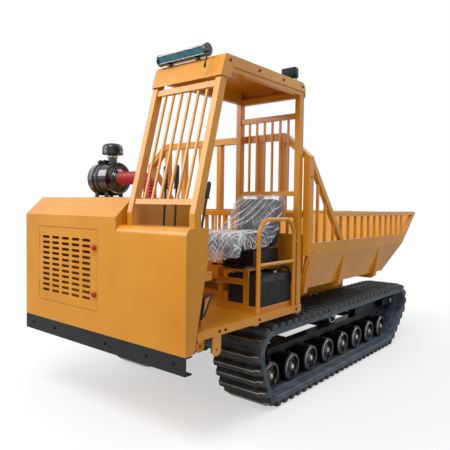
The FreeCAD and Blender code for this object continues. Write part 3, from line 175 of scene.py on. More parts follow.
def edge_mask(tree, radius_mm):
    """1 near a convex or concave corner: where the rounded normal leaves the flat one."""
    rounded = add(tree, "Bevel", {"Radius": radius_mm / 1000.0}, samples=6).outputs["Normal"]
    flat = add(tree, "NewGeometry").outputs["Normal"]
    same = add(tree, "VectorMath", {0: rounded, 1: flat}, operation="DOT_PRODUCT").outputs["Value"]
    return spread(tree, same, 0.995, 0.93)


def raised(tree, height, distance_mm, strength=1.0, normal=None):
    """A bump: the surface stands distance_mm higher where height is 1 than where it is 0."""
    inputs = {"Height": height, "Distance": distance_mm / 1000.0, "Strength": strength}
    if normal is not None:
        inputs["Normal"] = normal
    return add(tree, "Bump", inputs).outputs["Normal"]


def finished(tree, surface, colour=None, roughness=None, normal=None):
    """The shader's colour, roughness and normal linked, as far as they are given."""
    for socket, value in (("Base Color", colour), ("Roughness", roughness), ("Normal", normal)):
        if value is not None:
            tree.links.new(value, surface.inputs[socket])


def enamel(name, base, light, dark, roughness, edge=2.5, coat=0.6):
    """Sprayed enamel on sheet steel: an even satin skin with a faint orange-peel ripple, cloudy
    patches a hand wide, corners rounded by the film, and a paler colour painted along edges and corners as a
    highlight."""
    material, tree, surface, where = new_material(name, coat_weight=coat, coat_roughness=0.18,
                                                  specular_ior_level=0.15)
    clouds = spread(tree, grain(tree, where, 420, 3.0), 0.3, 0.7)
    colour = blended(tree, clouds, linear(base), linear(dark))
    specks = spread(tree, grain(tree, where, 14, 4.0, 0.7), 0.62, 0.8, 0.0, 0.5)
    colour = blended(tree, specks, colour, linear(dark))
    # worn: a paler colour painted along edges and concave corners, a painted highlight
    worn = edge_mask(tree, edge * 0.6)
    colour = blended(tree, spread(tree, worn, 0.0, 1.0, 0.0, 0.75), colour, linear(light))
    sheen = spread(tree, grain(tree, where, 60, 3.0), 0.3, 0.7, roughness - 0.06, roughness + 0.08)
    rounded = add(tree, "Bevel", {"Radius": edge / 1000.0}, samples=6).outputs["Normal"]
    ripple = raised(tree, grain(tree, where, 3.5, 1.0), 0.12, 0.35, rounded)
    finished(tree, surface, colour, sheen, ripple)
    return material


def track_rubber(name, base, dusty, wear):
    """Moulded carbon-black rubber: matt blue-grey, with fine pitting and dry dust in clouds."""
    material, tree, surface, where = new_material(name, specular_ior_level=0.35)
    dust = spread(tree, grain(tree, where, 95, 5.0, 0.65), 0.42, 0.72)
    scuffs = spread(tree, grain(tree, where, 16, 3.0, 0.6, (1.0, 1.0, 3.0)), 0.55, 0.75, 0.0, wear)
    colour = blended(tree, dust, linear(base), linear(dusty))
    colour = blended(tree, scuffs, colour, linear("#6e7681"))
    pits = raised(tree, grain(tree, where, 5, 4.0, 0.7), 0.5, 0.5)
    finished(tree, surface, colour, spread(tree, dust, 0.0, 1.0, 0.52, 0.78), pits)
    return material


def moulded(name, base, light, roughness, grain_mm=1.6, depth=0.15, specular=0.5):
    """Injection-moulded plastic: even colour, a spark-eroded grain and rubbed lighter patches."""
    material, tree, surface, where = new_material(name, specular_ior_level=specular)
    rubbed = spread(tree, grain(tree, where, 40, 4.0, 0.6), 0.5, 0.8, 0.0, 0.7)
    finished(tree, surface, blended(tree, rubbed, linear(base), linear(light)),
             spread(tree, rubbed, 0.0, 0.7, roughness, roughness + 0.12),
             raised(tree, grain(tree, where, grain_mm, 2.0), depth, 0.6))
    return material


def bare_metal(name, base, dull, roughness, brushed=(1.0, 1.0, 1.0)):
    """Plated or machined steel: bright, with fine tool lines and greyer, duller blotches."""
    material, tree, surface, where = new_material(name, metallic=1.0)
    blotch = spread(tree, grain(tree, where, 22, 4.0, 0.6), 0.4, 0.7)
    finished(tree, surface, blended(tree, blotch, linear(base), linear(dull)),
             spread(tree, blotch, 0.0, 1.0, roughness, roughness + 0.2),
             raised(tree, grain(tree, where, 1.5, 2.0, 0.5, brushed), 0.05, 0.4))
    return material


def gloss_black(name, roughness=0.07):
    """Stove-enamelled pressed steel: deep black, mirror smooth but for a slow press ripple."""
    material, tree, surface, where = new_material(name, coat_weight=1.0, coat_roughness=0.04)
    dust = spread(tree, grain(tree, where, 30, 5.0, 0.7), 0.55, 0.8, 0.0, 0.35)
    finished(tree, surface, blended(tree, dust, linear("#0b0b0c"), linear("#3a3a3a")),
             spread(tree, dust, 0.0, 0.35, roughness, 0.35),
             raised(tree, grain(tree, where, 70, 1.0), 0.8, 0.25))
    return material


def seat_vinyl():
    """Expanded vinyl on foam: near-black, a leather-like pebble a few millimetres across."""
    material, tree, surface, where = new_material("seat vinyl, black", specular_ior_level=0.45)
    pebble = add(tree, "TexVoronoi", {"Vector": where, "Scale": 1000.0 / 4.0},
                 feature="DISTANCE_TO_EDGE").outputs["Distance"]
    tone = spread(tree, grain(tree, where, 60, 3.0), 0.3, 0.7)
    surface.inputs["Roughness"].default_value = 0.46
    finished(tree, surface, blended(tree, tone, linear("#10141a"), linear("#1c222b")),
             normal=raised(tree, spread(tree, pebble, 0.0, 0.12), 0.35, 0.7))
    return material


def clear_film():
    """Thin polythene sheet: see-through and glossy. White is painted in as a highlight along its folds,
    and as a faint painted sheen over the rest; a point attribute says how folded it is."""
    material, tree, surface, where = new_material("polythene film, clear", roughness=0.14, ior=1.5)
    crease = add(tree, "Attribute", attribute_name="crease").outputs["Fac"]
    cloud = spread(tree, grain(tree, where, 70, 3.0), 0.35, 0.7, 0.0, 0.12)
    # The film's white is painted light: a highlight along the folds, and with the alpha floor of 0.1 a faint
    # sheen everywhere.
    white = add(tree, "Math", {0: spread(tree, crease, 0.18, 0.62), 1: cloud},
                operation="ADD", use_clamp=True).outputs["Value"]
    surface.inputs["Base Color"].default_value = linear("#eef3fa")
    tree.links.new(spread(tree, white, 0.0, 1.0, 0.1, 0.95), surface.inputs["Alpha"])
    finished(tree, surface, normal=raised(tree, grain(tree, where, 14, 3.0, 0.6), 2.0, 0.7))
    return material


def hose_silicone():
    """Reinforced silicone hose: saturated red with a soft waxy gloss and a little dust."""
    material, tree, surface, where = new_material("silicone hose, red", specular_ior_level=0.6)
    dust = spread(tree, grain(tree, where, 18, 4.0, 0.6), 0.5, 0.8, 0.0, 0.5)
    finished(tree, surface, blended(tree, dust, linear("#a5151b"), linear("#c8545a")),
             spread(tree, dust, 0.0, 0.5, 0.28, 0.5),
             raised(tree, grain(tree, where, 2.5, 2.0), 0.2, 0.5))
    return material


def lamp_cover():
    """Polycarbonate lamp cover: teal-tinted and clear, with a little haze and dust."""
    material, tree, surface, where = new_material("polycarbonate, teal clear", roughness=0.08,
                                                  ior=1.58, transmission_weight=0.55)
    haze = spread(tree, grain(tree, where, 20, 3.0), 0.4, 0.7)
    finished(tree, surface, blended(tree, haze, linear("#2c7c8c"), linear("#4f9dab")))
    return material


def reflector():
    """Vacuum-metallised reflector cups behind the cover: bright with a cool cast."""
    material, tree, surface, where = new_material("metallised plastic", metallic=1.0)
    tone = spread(tree, grain(tree, where, 8, 2.0), 0.3, 0.7)
    finished(tree, surface, blended(tree, tone, linear("#9fc6cf"), linear("#5d8f9c")))
    surface.inputs["Roughness"].default_value = 0.18
    return material


PAINT = enamel("enamel, yellow-orange", "#db9427", "#efc280", "#ce851c", 0.34)
DARK_PAINT = enamel("enamel, slate grey", "#2a2d2b", "#4a4d46", "#1f2220", 0.5, coat=0.2)
BLACK_PAINT = enamel("enamel, frame black", "#12151a", "#2c3038", "#0b0d10", 0.42, coat=0.1)
RUBBER = track_rubber("track rubber, blue-black", "#424a54", "#6c7682", 0.35)
# The tread face and the cleats take this darker copy of the belt rubber: painted shade.
SHADED_TREAD = track_rubber("track rubber, dark tread", "#292b2d", "#4e5154", 0.3)
LUG_EDGE = track_rubber("track rubber, scuffed lug edge", "#a99d89", "#cdc3b0", 0.4)
ROLLER_PAINT = enamel("enamel, navy black", "#10141c", "#5a606b", "#090b10", 0.28, 1.5, 0.6)
WORN_STEEL = bare_metal("worn steel rim", "#c9ccd2", "#8b9099", 0.3)
HUB_IRON = bare_metal("greasy cast iron hub", "#6b6c70", "#3a3b3f", 0.45)
OXIDE_BOLT = bare_metal("oxide-black bolt", "#3b342c", "#1e1b18", 0.4)
ZINC = bare_metal("zinc plate", "#d5d3c8", "#a5a294", 0.3)
CHROME = bare_metal("hard chrome rod", "#dfe2e6", "#c7cbd1", 0.06)
STOVE_BLACK = gloss_black("stove enamel, black")
GRIP = moulded("rubber grip, black", "#101113", "#232427", 0.55, 2.4, 0.3)
BLACK_PLASTIC = moulded("polypropylene, black", "#17191c", "#2d3034", 0.42)
BATTERY_CASE = moulded("battery case, charcoal", "#1e2022", "#313437", 0.48, 1.2, 0.12)
DOME_PLASTIC = moulded("polyethylene, charcoal", "#15181d", "#23272d", 0.22, 1.0, 0.06)
RED_PLASTIC = moulded("ABS, red", "#b81a16", "#d14a40", 0.25, 1.0, 0.03)
LAMP_METAL = bare_metal("anodised aluminium, black", "#1d2025", "#2b2f35", 0.4)
SILVER_TRIM = bare_metal("anodised aluminium, silver", "#d7dade", "#b2b6bc", 0.25)
VINYL = seat_vinyl()
FILM = clear_film()
HOSE_RED = hose_silicone()
LENS = lamp_cover()
CUPS = reflector()
ENGINE_PAINT = enamel("engine enamel, dull grey", "#4a4f55", "#71767c", "#34383d", 0.5)

NODE_FINISH = {"front_bumper": DARK_PAINT, "track_frames": BLACK_PAINT, "drive_train": ENGINE_PAINT,
               "cylinder_barrel": BLACK_PAINT, "cylinder_rod": CHROME, "air_cleaner": STOVE_BLACK,
               "light_bar": LAMP_METAL, "light_bar_lens": LENS, "rear_lamp": LAMP_METAL,
               "seat_base": BLACK_PLASTIC, "chassis_bolts": OXIDE_BOLT, "door_knob_upper": RED_PLASTIC,
               "door_knob_lower": RED_PLASTIC, "batteries": BATTERY_CASE, "precleaner": DOME_PLASTIC,
               "intake_hose": HOSE_RED, "gear_lever": GRIP, "steering_lever_left": GRIP,
               "steering_lever_right": GRIP, "battery_cable": GRIP, "lamp_lead": GRIP}


def finish_nodes():
    """Every CAD node's finish: rollers navy black, sheet metal yellow-orange, the rest by name."""
    for name, node in frame["nodes"].items():
        node.data.materials.clear()
        running = "roller" in name or name.startswith(("idler", "sprocket"))
        node.data.materials.append(NODE_FINISH.get(name, ROLLER_PAINT if running else PAINT))


# ---------------------------------------------------------------- shapes

def quads(rows, columns, close_rows, close_columns):
    """The four corners of each cell of a grid; a closed way joins its last line to its first."""
    i, j = np.meshgrid(np.arange(rows if close_rows else rows - 1),
                       np.arange(columns if close_columns else columns - 1), indexing="ij")
    ni, nj = (i + 1) % rows, (j + 1) % columns
    return np.stack([i * columns + j, ni * columns + j, ni * columns + nj, i * columns + nj],
                    -1).reshape(-1, 4)


class Shape:
    """Grids gathered into one mesh: points in millimetres, faces, and a finish number for each."""

    def __init__(self):
        """Nothing gathered yet."""
        self.points, self.faces, self.marks, self.count = [], [], [], 0

    def grid(self, points, close_rows=False, close_columns=True, caps=False, mark=0):
        """mark is one finish number, one for each row of cells, or one for each cell."""
        points = np.asarray(points, float)
        rows, columns = points.shape[:2]
        cells = quads(rows, columns, close_rows, close_columns)
        mark = np.asarray(mark)
        if mark.ndim == 1:
            mark = mark[:, None]
        high = rows if close_rows else rows - 1
        marks = np.broadcast_to(mark, (high, len(cells) // high)).ravel()
        self.faces.extend((cells + self.count).tolist())
        self.marks.extend(marks.tolist())
        if caps:
            for row in (0, rows - 1):
                self.faces.append((self.count + row * columns + np.arange(columns)).tolist())
                self.marks.append(int(marks[0 if row == 0 else -1]))
        self.points.append(points.reshape(-1, 3))
        self.count += rows * columns
        return self

    def block(self, low, high, radius, steps=2, mark=0):
        """A rounded box added."""
        return self.grid(block(low, high, radius, steps), caps=True, mark=mark)

    def pipe(self, path, radius, segments=14):
        """A round tube added."""
        return self.grid(piped(path, radius, segments), caps=True)

    def lathe(self, profile, centre, axis, segments=48, **how):
        """A lathe shape added; how is passed on to grid."""
        return self.grid(turned(profile, centre, axis, segments), **how)

    def piece(self, name, body, slot, finishes, replaces=(), sharp=35.0):
        """The finished object: doubles merged, faces outwards, smooth below the sharp angle."""
        mesh = bpy.data.meshes.new(name)
        mesh.from_pydata(placed(np.concatenate(self.points)).tolist(), [], self.faces)
        mesh.polygons.foreach_set("material_index", np.array(self.marks, np.int32))
        work = bmesh.new()
        work.from_mesh(mesh)
        bmesh.ops.remove_doubles(work, verts=work.verts, dist=1e-5)
        bmesh.ops.dissolve_degenerate(work, edges=work.edges, dist=1e-6)
        bmesh.ops.recalc_face_normals(work, faces=work.faces)
        work.to_mesh(mesh)
        work.free()
        mesh.shade_smooth()
        mesh.set_sharp_from_angle(angle=math.radians(sharp))
        for finish in finishes:
            mesh.materials.append(finish)
        made = linked(name, mesh)
        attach(made, body)
        if replaces:
            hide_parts(*replaces)
        return made


def block(low, high, radius, steps=2):
    """A box with rounded edges: a sphere of the edge radius whose eight quarters are drawn apart
    to the box's corners."""
    low, high = np.minimum(low, high).astype(float), np.maximum(low, high).astype(float)
    reach = np.maximum((high - low) / 2 - radius, 0.0)
    part = np.linspace(0, np.pi / 2, steps + 1)
    across = np.concatenate([part + k * np.pi / 2 for k in range(4)])
    rise = np.concatenate([part - np.pi / 2, part])
    side_x = np.sign(np.cos(np.repeat(np.arange(4) * np.pi / 2 + np.pi / 4, steps + 1)))
    side_y = np.sign(np.sin(np.repeat(np.arange(4) * np.pi / 2 + np.pi / 4, steps + 1)))
    side_z = np.repeat([-1.0, 1.0], steps + 1)[:, None]
    flat = np.cos(rise)[:, None]
    x = side_x[None] * reach[0] + radius * flat * np.cos(across)[None]
    y = side_y[None] * reach[1] + radius * flat * np.sin(across)[None]
    z = side_z * reach[2] + radius * np.sin(rise)[:, None] + 0 * across[None]
    return np.stack([x, y, z], -1) + (low + high) / 2


def turned(profile, centre, axis, segments=48):
    """A lathe shape: each (along, radius) of the profile swept round the axis through centre."""
    along, radius = np.asarray(profile, float).T
    axis = unit(np.asarray(axis, float))
    side = unit(np.cross(axis, (0.0, 0.0, 1.0) if abs(axis[2]) < 0.9 else (1.0, 0.0, 0.0)))
    other = np.cross(axis, side)
    turn = np.linspace(0, 2 * np.pi, segments, endpoint=False)
    ring = np.cos(turn)[:, None] * side + np.sin(turn)[:, None] * other
    return np.asarray(centre, float) + along[:, None, None] * axis + radius[:, None, None] * ring[None]


def piped(path, radius, segments=14):
    """A round tube along a path: at each point a ring square to the line, radius one number or one
    for each point. Each ring's side is the last one's, laid back square to the new direction."""
    path = np.asarray(path, float)
    radius = np.broadcast_to(radius, (len(path),)).astype(float)
    along = np.gradient(path, axis=0)
    along /= np.linalg.norm(along, axis=1)[:, None]
    side = np.cross(along[0], (0.31, 0.52, 0.79))
    sides = []
    for direction in along:
        side = unit(side - direction * np.dot(side, direction))
        sides.append(side)
    sides = np.array(sides)
    other = np.cross(along, sides)
    turn = np.linspace(0, 2 * np.pi, segments, endpoint=False)
    ring = np.cos(turn)[None, :, None] * sides[:, None] + np.sin(turn)[None, :, None] * other[:, None]
    return path[:, None] + radius[:, None, None] * ring


def run_length(path):
    """How far along the path each of its points is."""
    return np.concatenate([[0], np.cumsum(np.linalg.norm(np.diff(path, axis=0), axis=1))])


def smooth_path(points, count):
    """count points evenly along a natural curve through points: each coordinate is a cubic
    in the distance run so far (Catmull-Rom slopes)."""
    points = np.asarray(points, float)
    run = run_length(points)
    slope = np.gradient(points, run, axis=0)
    at = np.linspace(0, run[-1], count)
    k = np.clip(np.searchsorted(run, at, side="right") - 1, 0, len(run) - 2)
    width = (run[k + 1] - run[k])[:, None]
    t = ((at - run[k]) / width[:, 0])[:, None]
    return ((2 * t ** 3 - 3 * t ** 2 + 1) * points[k] + (t ** 3 - 2 * t ** 2 + t) * width * slope[k]
            + (3 * t ** 2 - 2 * t ** 3) * points[k + 1] + (t ** 3 - t ** 2) * width * slope[k + 1])


def hexagon(point, axis, across, height):
    """A bolt head with a chamfered top, standing on point: six-sided rings, the last drawn in."""
    return turned([(0, 0), (0, across), (height * 0.75, across), (height, across * 0.82), (height, 0)],
                  point, axis, 6)


# ---------------------------------------------------------------- tracks

TRACK_IN, TRACK_OUT = measured("track_belt_left")[0][0], measured("track_belt_left")[1][0]
# BELT is the belt's thickness and GROUND_SAG how far the run on the ground goes on behind the last
# roller. The belt's outer face bends round the idler and the sprocket at the two arcs; guide horns
# stay at least the two reaches away from their axles.
LUG_HEIGHT = 40.0
BELT = 38.0
GROUND_SAG = 55.0
LUGS = 66
IDLER_ARC, SPROCKET_ARC = 130.0, 147.0
IDLER_REACH, SPROCKET_REACH = 215.0, 230.0


def belt_line(count):
    """count points evenly round the belt's outer face and their outward normals: straight runs
    and arcs round four circles, the two on the ground first."""
    first = joint_place("lower_roller_left_1_spin")
    last = joint_place("lower_roller_left_8_spin")
    idler = joint_place("idler_left_spin")
    sprocket = joint_place("sprocket_left_spin")
    ground = first[2] - LUG_HEIGHT
    circles = [(first[1], first[2], ground), (last[1] + GROUND_SAG, last[2], ground),
               (idler[1], idler[2], IDLER_ARC), (sprocket[1], sprocket[2], SPROCKET_ARC)]
    pieces, runs = [], []
    for k, (y0, z0, r0) in enumerate(circles):
        y1, z1, r1 = circles[(k + 1) % 4]
        span = math.hypot(y1 - y0, z1 - z0)
        angle = math.atan2(z1 - z0, y1 - y0) - math.pi / 2 + math.asin((r0 - r1) / span)
        runs.append((angle, math.sqrt(span ** 2 - (r0 - r1) ** 2)))
    for k, (angle, length) in enumerate(runs):
        y0, z0, r0 = circles[k]
        y1, z1, r1 = circles[(k + 1) % 4]
        turn = (runs[(k + 1) % 4][0] - angle) % (2 * math.pi)
        pieces.append((length, y0, z0, r0, angle, None))
        pieces.append((turn * r1, y1, z1, r1, angle, turn))
    ends = np.cumsum([piece[0] for piece in pieces])
    at = np.linspace(0, ends[-1], count, endpoint=False)
    which = np.searchsorted(ends, at, side="right")
    start = np.concatenate([[0], ends[:-1]])[which]
    length, y, z, r, angle = (np.array([piece[k] for piece in pieces])[which] for k in range(5))
    bent = np.array([piece[5] is not None for piece in pieces])[which]
    done = at - start
    heading = np.where(bent, angle + done / r, angle)
    normal = np.stack([np.cos(heading), np.sin(heading)], -1)
    line = np.stack([y, z], -1) + r[:, None] * normal
    line += np.where(bent, 0, done)[:, None] * np.stack([-np.sin(heading), np.cos(heading)], -1)
    return line, normal


def carried(section, line, normal):
    """A section of (x, height) points set square on every point of the belt's line."""
    section = np.asarray(section, float)
    flat = line[:, None, :] + section[None, :, 1, None] * normal[:, None, :]
    x = np.broadcast_to(section[None, :, 0], flat.shape[:2])
    return np.concatenate([x[..., None], flat], -1)


def make_track(side):
    """The endless belt, its cleats outside, and the guide horns inside. The belt is one section
    carried round the line; the horns stop where the idler and the sprocket run."""
    sign = 1 if side == "left" else -1
    middle = (TRACK_IN + TRACK_OUT) / 2
    shape = Shape()
    line, normal = belt_line(LUGS * 4)
    runway = BELT + 12.0
    section = [(TRACK_IN + 6, 0), (TRACK_OUT - 6, 0), (TRACK_OUT, -5), (TRACK_OUT, -14), (TRACK_OUT - 5, -17),
               (TRACK_OUT - 5, -25), (TRACK_OUT, -28), (TRACK_OUT, -BELT + 5), (TRACK_OUT - 6, -BELT),
               (middle + 127, -BELT), (middle + 124, -runway + 2), (middle + 121, -runway),
               (middle + 50, -runway), (middle + 47, -runway + 2), (middle + 44, -BELT),
               (middle - 44, -BELT), (middle - 47, -runway + 2), (middle - 50, -runway),
               (middle - 121, -runway), (middle - 124, -runway + 2), (middle - 127, -BELT),
               (TRACK_IN + 6, -BELT), (TRACK_IN, -BELT + 5), (TRACK_IN, -5)]
    # Finish 2 on the belt's outer face is the darker tread rubber, painted shade.
    outer = np.where(np.arange(len(section)) == 0, 2, 0)[None, :]
    shape.grid(carried(section, line, normal), close_rows=True, mark=outer)
    line, normal = belt_line(LUGS)
    along = np.stack([-normal[:, 1], normal[:, 0]], -1)
    # One cleat: stations across the belt, each a ring of (along, height) points. It is deep and
    # blunt in the middle, and cut back at each end, first on one side and then on the other.
    width = TRACK_OUT - TRACK_IN
    stations = np.array([0.0, 0.012, 0.10, 0.135, 0.5, 0.865, 0.90, 0.988, 1.0])
    tip = np.array([0.55, 0.78, 0.86, 1.0, 1.0, 1.0, 0.86, 0.78, 0.55])
    lean = np.array([8.0, 8.0, 7.0, 0.0, 0.0, 0.0, -7.0, -8.0, -8.0])
    ring = np.array([(-29, -6), (-29, 1), (-19, LUG_HEIGHT - 5), (-15, LUG_HEIGHT), (15, LUG_HEIGHT),
                     (19, LUG_HEIGHT - 5), (29, 1), (29, -6)])
    for k in range(LUGS):
        out, ahead = normal[k], along[k]
        height = np.where(ring[None, :, 1] > 1, ring[None, :, 1] * tip[:, None], ring[None, :, 1])
        shift = ring[None, :, 0] + lean[:, None] * (ring[None, :, 1] > 1)
        flat = line[k] + shift[..., None] * ahead + height[..., None] * out
        x = np.broadcast_to((TRACK_IN + width * stations)[:, None], flat.shape[:2])
        lug = np.concatenate([x[..., None], flat], -1)
        shape.grid(lug, caps=True, mark=2)
        edge = lug[1:-1, [2, 3]]
        strip = np.concatenate([edge, edge[:, ::-1] - 1.5 * np.array([0, *out])], 1)
        strip += 0.4 * np.array([0, *out])
        shape.grid(strip, caps=True, mark=1)
        horn = [(-24, -BELT + 3), (-15, -BELT - 34), (-9, -BELT - 40), (9, -BELT - 40), (15, -BELT - 34),
                (24, -BELT + 3)]
        apart = [np.linalg.norm(line[k] - joint_place(name)[1:]) for name in
                 ("sprocket_left_spin", "idler_left_spin")]
        if apart[0] > SPROCKET_REACH and apart[1] > IDLER_REACH:
            for x0 in (-38, 30):
                shape.grid(np.array([[(middle + x0 + dx, *(line[k] + a * ahead + h * out)) for a, h in horn]
                                     for dx in (0, 8)]), caps=True)
    for points in shape.points:
        points[:, 0] *= sign
    shape.piece("rubber_track_" + side, "chassis", "track_rubber", [RUBBER, LUG_EDGE, SHADED_TREAD],
                ["track_belt_" + side])


ROLLER_FINISHES = [ROLLER_PAINT, WORN_STEEL, ZINC, HUB_IRON]


def make_rollers(side):
    """Lower rollers, carrier roller and idler, each a profile swept round its axle: two cupped
    wheels on a waisted hub, with bolts and a hub cap on the lower ones."""
    sign = 1 if side == "left" else -1
    middle = (TRACK_IN + TRACK_OUT) / 2
    cup = [(115, 0), (115, 26), (112, 30), (104, 34), (101, 52), (104, 66), (122, 71), (125, 73), (125, 77),
           (122, 79), (121, 91), (117, 94.5), (64, 94.5), (60, 91), (60, 62), (54, 50), (46, 44), (22, 42),
           (22, 26), (-12, 26), (-12, 42), (-36, 44), (-44, 52), (-50, 62), (-50, 91), (-54, 94.5),
           (-111, 94.5), (-115, 91), (-115, 78), (-112, 74), (-94, 70), (-92, 44), (-104, 30), (-105, 0)]
    marks = [3] * 3 + [0] * 5 + [1] + [0] * 24
    for k in range(8):
        name = "lower_roller_%s_%d" % (side, k + 1)
        centre = joint_place(name + "_spin") * (0, 1, 1) + (sign * middle, 0, 0)
        shape = Shape().lathe(cup, centre, (sign, 0, 0), 56, mark=marks)
        face = centre + np.array([sign * 106.0, 0, 0])
        for turn in np.arange(5) * 2 * np.pi / 5 + 0.3:
            spot = face + 43 * np.array([0, math.cos(turn), math.sin(turn)])
            shape.grid(hexagon(spot, (sign, 0, 0), 6.5, 6), mark=3)
        cap = [(112, 0), (112, 17), (124, 17), (128, 13), (129, 0)]
        shape.lathe(cap, centre, (sign, 0, 0), 28, mark=2)
        shape.piece("roller_wheel_%s_%d" % (side, k + 1), name, "roller_iron", ROLLER_FINISHES, [name])
    name = "carrier_roller_" + side
    centre = joint_place(name + "_spin") * (0, 1, 1) + (sign * middle, 0, 0)
    rim = [(52, 0), (52, 14), (48, 17), (30, 18), (26, 30), (28, 46), (38, 50), (40, 52), (40, 57), (38, 59),
           (38, 62), (35, 64.5), (-36, 64.5), (-40, 61), (-40, 40), (-44, 30), (-60, 25), (-100, 25),
           (-100, 0)]
    marks = [2, 2, 2] + [0] * 4 + [1] + [0] * 3 + [1] + [0] * 6
    wheel = Shape().lathe(rim, centre, (sign, 0, 0), 48, mark=marks)
    wheel.piece("carrier_wheel_" + side, name, "roller_iron", ROLLER_FINISHES, [name])
    name = "idler_" + side
    centre = joint_place(name + "_spin") * (0, 1, 1) + (sign * middle, 0, 0)
    rim = [(98, 0), (98, 20), (95, 24), (50, 25), (44, 40), (22, 44), (16, 60), (24, 76), (36, 80), (36, 86),
           (33, 88.5), (-33, 88.5), (-36, 86), (-36, 80), (-24, 76), (-16, 60), (-22, 44), (-44, 40),
           (-50, 25), (-98, 24), (-98, 0)]
    wheel = Shape().lathe(rim, centre, (sign, 0, 0), 56, mark=[2, 2] + [0] * 8 + [1] + [0] * 9)
    wheel.piece("idler_wheel_" + side, name, "roller_iron", ROLLER_FINISHES, [name])


# ---------------------------------------------------------------- seat

WAVES = 4


def ripple(x, y, seed, octaves=3):
    """Smooth pseudo-random field in -1..1: sines of turned coordinates, each octave finer."""
    random = np.random.RandomState(seed)
    total = np.zeros(np.broadcast(x, y).shape)
    for octave in range(octaves):
        for _ in range(WAVES):
            turn, phase = random.uniform(0, np.pi), random.uniform(0, 2 * np.pi)
            scale = 2.1 ** octave * random.uniform(0.8, 1.25)
            total += np.sin(scale * (x * np.cos(turn) + y * np.sin(turn)) + phase) / (WAVES * 1.6 ** octave)
    return total


def pad_shape(low, high, lean, crown):
    """A crowned cushion before it is filled: a box with soft corners, its two broad faces swollen by
    a cosine both ways, sheared back by lean millimetres for each millimetre up."""
    u, v = np.meshgrid(np.linspace(-np.pi, np.pi, 112, endpoint=False),
                       np.linspace(-np.pi / 2, np.pi / 2, 56), indexing="xy")

    def square(value):
        """A sine or cosine pushed out towards -1 and 1, so that a ball becomes a soft-edged box."""
        return np.sign(value) * np.abs(value) ** 0.34

    soft = np.stack([square(np.cos(v)) * square(np.cos(u)), square(np.cos(v)) * square(np.sin(u)),
                     square(np.sin(v))], -1)
    half = (high - low) / 2
    thin = int(np.argmin(half))
    broad = [k for k in range(3) if k != thin]
    swell = np.prod(np.cos(soft[..., broad] * np.pi / 2), -1)
    points = soft * half
    face = np.abs(soft[..., thin]) > 0.75
    points[..., thin] += np.sign(soft[..., thin]) * np.where(face, crown * swell, 0.0)
    points += (low + high) / 2
    points[..., 1] += (points[..., 2] - low[2]) * lean
    return points


def corners_of(mesh, what="co"):
    """All of a mesh's points, or their normals, as one array."""
    values = np.empty(len(mesh.vertices) * 3, np.float32)
    mesh.vertices.foreach_get(what, values)
    return values.reshape(-1, 3).astype(float)


def settled(piece):
    """The piece's mesh with its modifiers worked out and taken off."""
    bpy.context.view_layer.update()
    graph = bpy.context.evaluated_depsgraph_get()
    mesh = bpy.data.meshes.new_from_object(piece.evaluated_get(graph))
    piece.modifiers.clear()
    piece.data = mesh
    return mesh


# The skin's cell in metres, the air pressure and the frames it acts for, and the half width and
# depth of a pressed channel in metres.
VOXEL, PRESSURE, FILL_FRAMES = 0.006, 4.0, 20
CHANNEL = 0.008


def filled_pad(piece, channels, across, cap_mm):
    """The pad blown up as sewn cloth round foam, no point moving more than cap_mm; then each
    channel pressed in along the surface, and the skin subdivided once."""
    skin = piece.modifiers.new("skin", "REMESH")
    skin.mode = "VOXEL"
    skin.voxel_size = VOXEL
    rest = corners_of(settled(piece))
    cloth = piece.modifiers.new("cloth", "CLOTH")
    cloth.settings.use_pressure = True
    cloth.settings.uniform_pressure_force = PRESSURE
    cloth.settings.effector_weights.gravity = 0.0
    cloth.point_cache.frame_start = 1
    cloth.point_cache.frame_end = FILL_FRAMES
    for number in range(1, FILL_FRAMES + 1):
        bpy.context.scene.frame_set(number)
    mesh = settled(piece)
    bpy.context.scene.frame_set(1)
    step = corners_of(mesh) - rest
    far = np.linalg.norm(step, axis=1)[:, None]
    step *= np.minimum(1.0, cap_mm / 1000.0 / np.maximum(far, 1e-9))
    mesh.vertices.foreach_set("co", (rest + step).ravel())
    mesh.update()
    mesh = piece.data
    spots, normals = corners_of(mesh), corners_of(mesh, "normal")
    low, high = spots.min(0), spots.max(0)
    share = (spots - (low + high) / 2) / ((high - low) / 2)
    fade = np.clip((0.94 - np.abs(share[:, 0])) / 0.12, 0, 1)
    reach = (high - low)[across] / 2
    dips = sum(np.exp(-((share[:, across] - at) * reach / CHANNEL) ** 2) for at in channels)
    up_or_front = normals[:, 2] if across == 1 else -normals[:, 1]
    depth = CHANNEL * dips * fade * np.clip(up_or_front * 2, 0, 1)
    mesh.vertices.foreach_set("co", (spots - normals * depth[:, None]).ravel())
    mesh.shade_smooth()
    mesh.update()
    finer = piece.modifiers.new("finer", "SUBSURF")
    finer.levels = finer.render_levels = 1


def make_seat():
    """The cushion, level, and the backrest, leaning back: each starts a little inside its CAD solid,
    with room to swell."""
    low, high = measured("seat_cushion")
    low, high = low + (9, 9, 1), high - (9, 9, 15)
    cushion = Shape().grid(pad_shape(low, high, 0.0, 8.0))
    piece = cushion.piece("seat_cushion_pad", "seat", "seat_vinyl", [VINYL], ["seat_cushion"], 60)
    filled_pad(piece, (-0.5, -0.1, 0.3, 0.65), 1, 6.0)
    low, high = measured("seat_backrest")
    lean = 0.13
    low, high = low + (9, 5, 5), high - (9, 5 + (high[2] - low[2]) * lean, 9)
    back = Shape().grid(pad_shape(low, high, lean, 4.0))
    piece = back.piece("seat_backrest_pad", "seat", "seat_vinyl", [VINYL], ["seat_backrest"], 60)
    filled_pad(piece, (-0.3, 0.1, 0.5), 2, 5.0)


FILM_LINE = [(1042, 1200), (1041, 1260), (1030, 1326), (1010, 1357), (980, 1364), (948, 1351), (921, 1312),
             (893, 1262), (856, 1206), (812, 1158), (752, 1134), (660, 1127), (560, 1125), (505, 1122),
             (474, 1104), (462, 1064), (463, 1020), (470, 975), (474, 930), (482, 898)]


FOLDS = 97


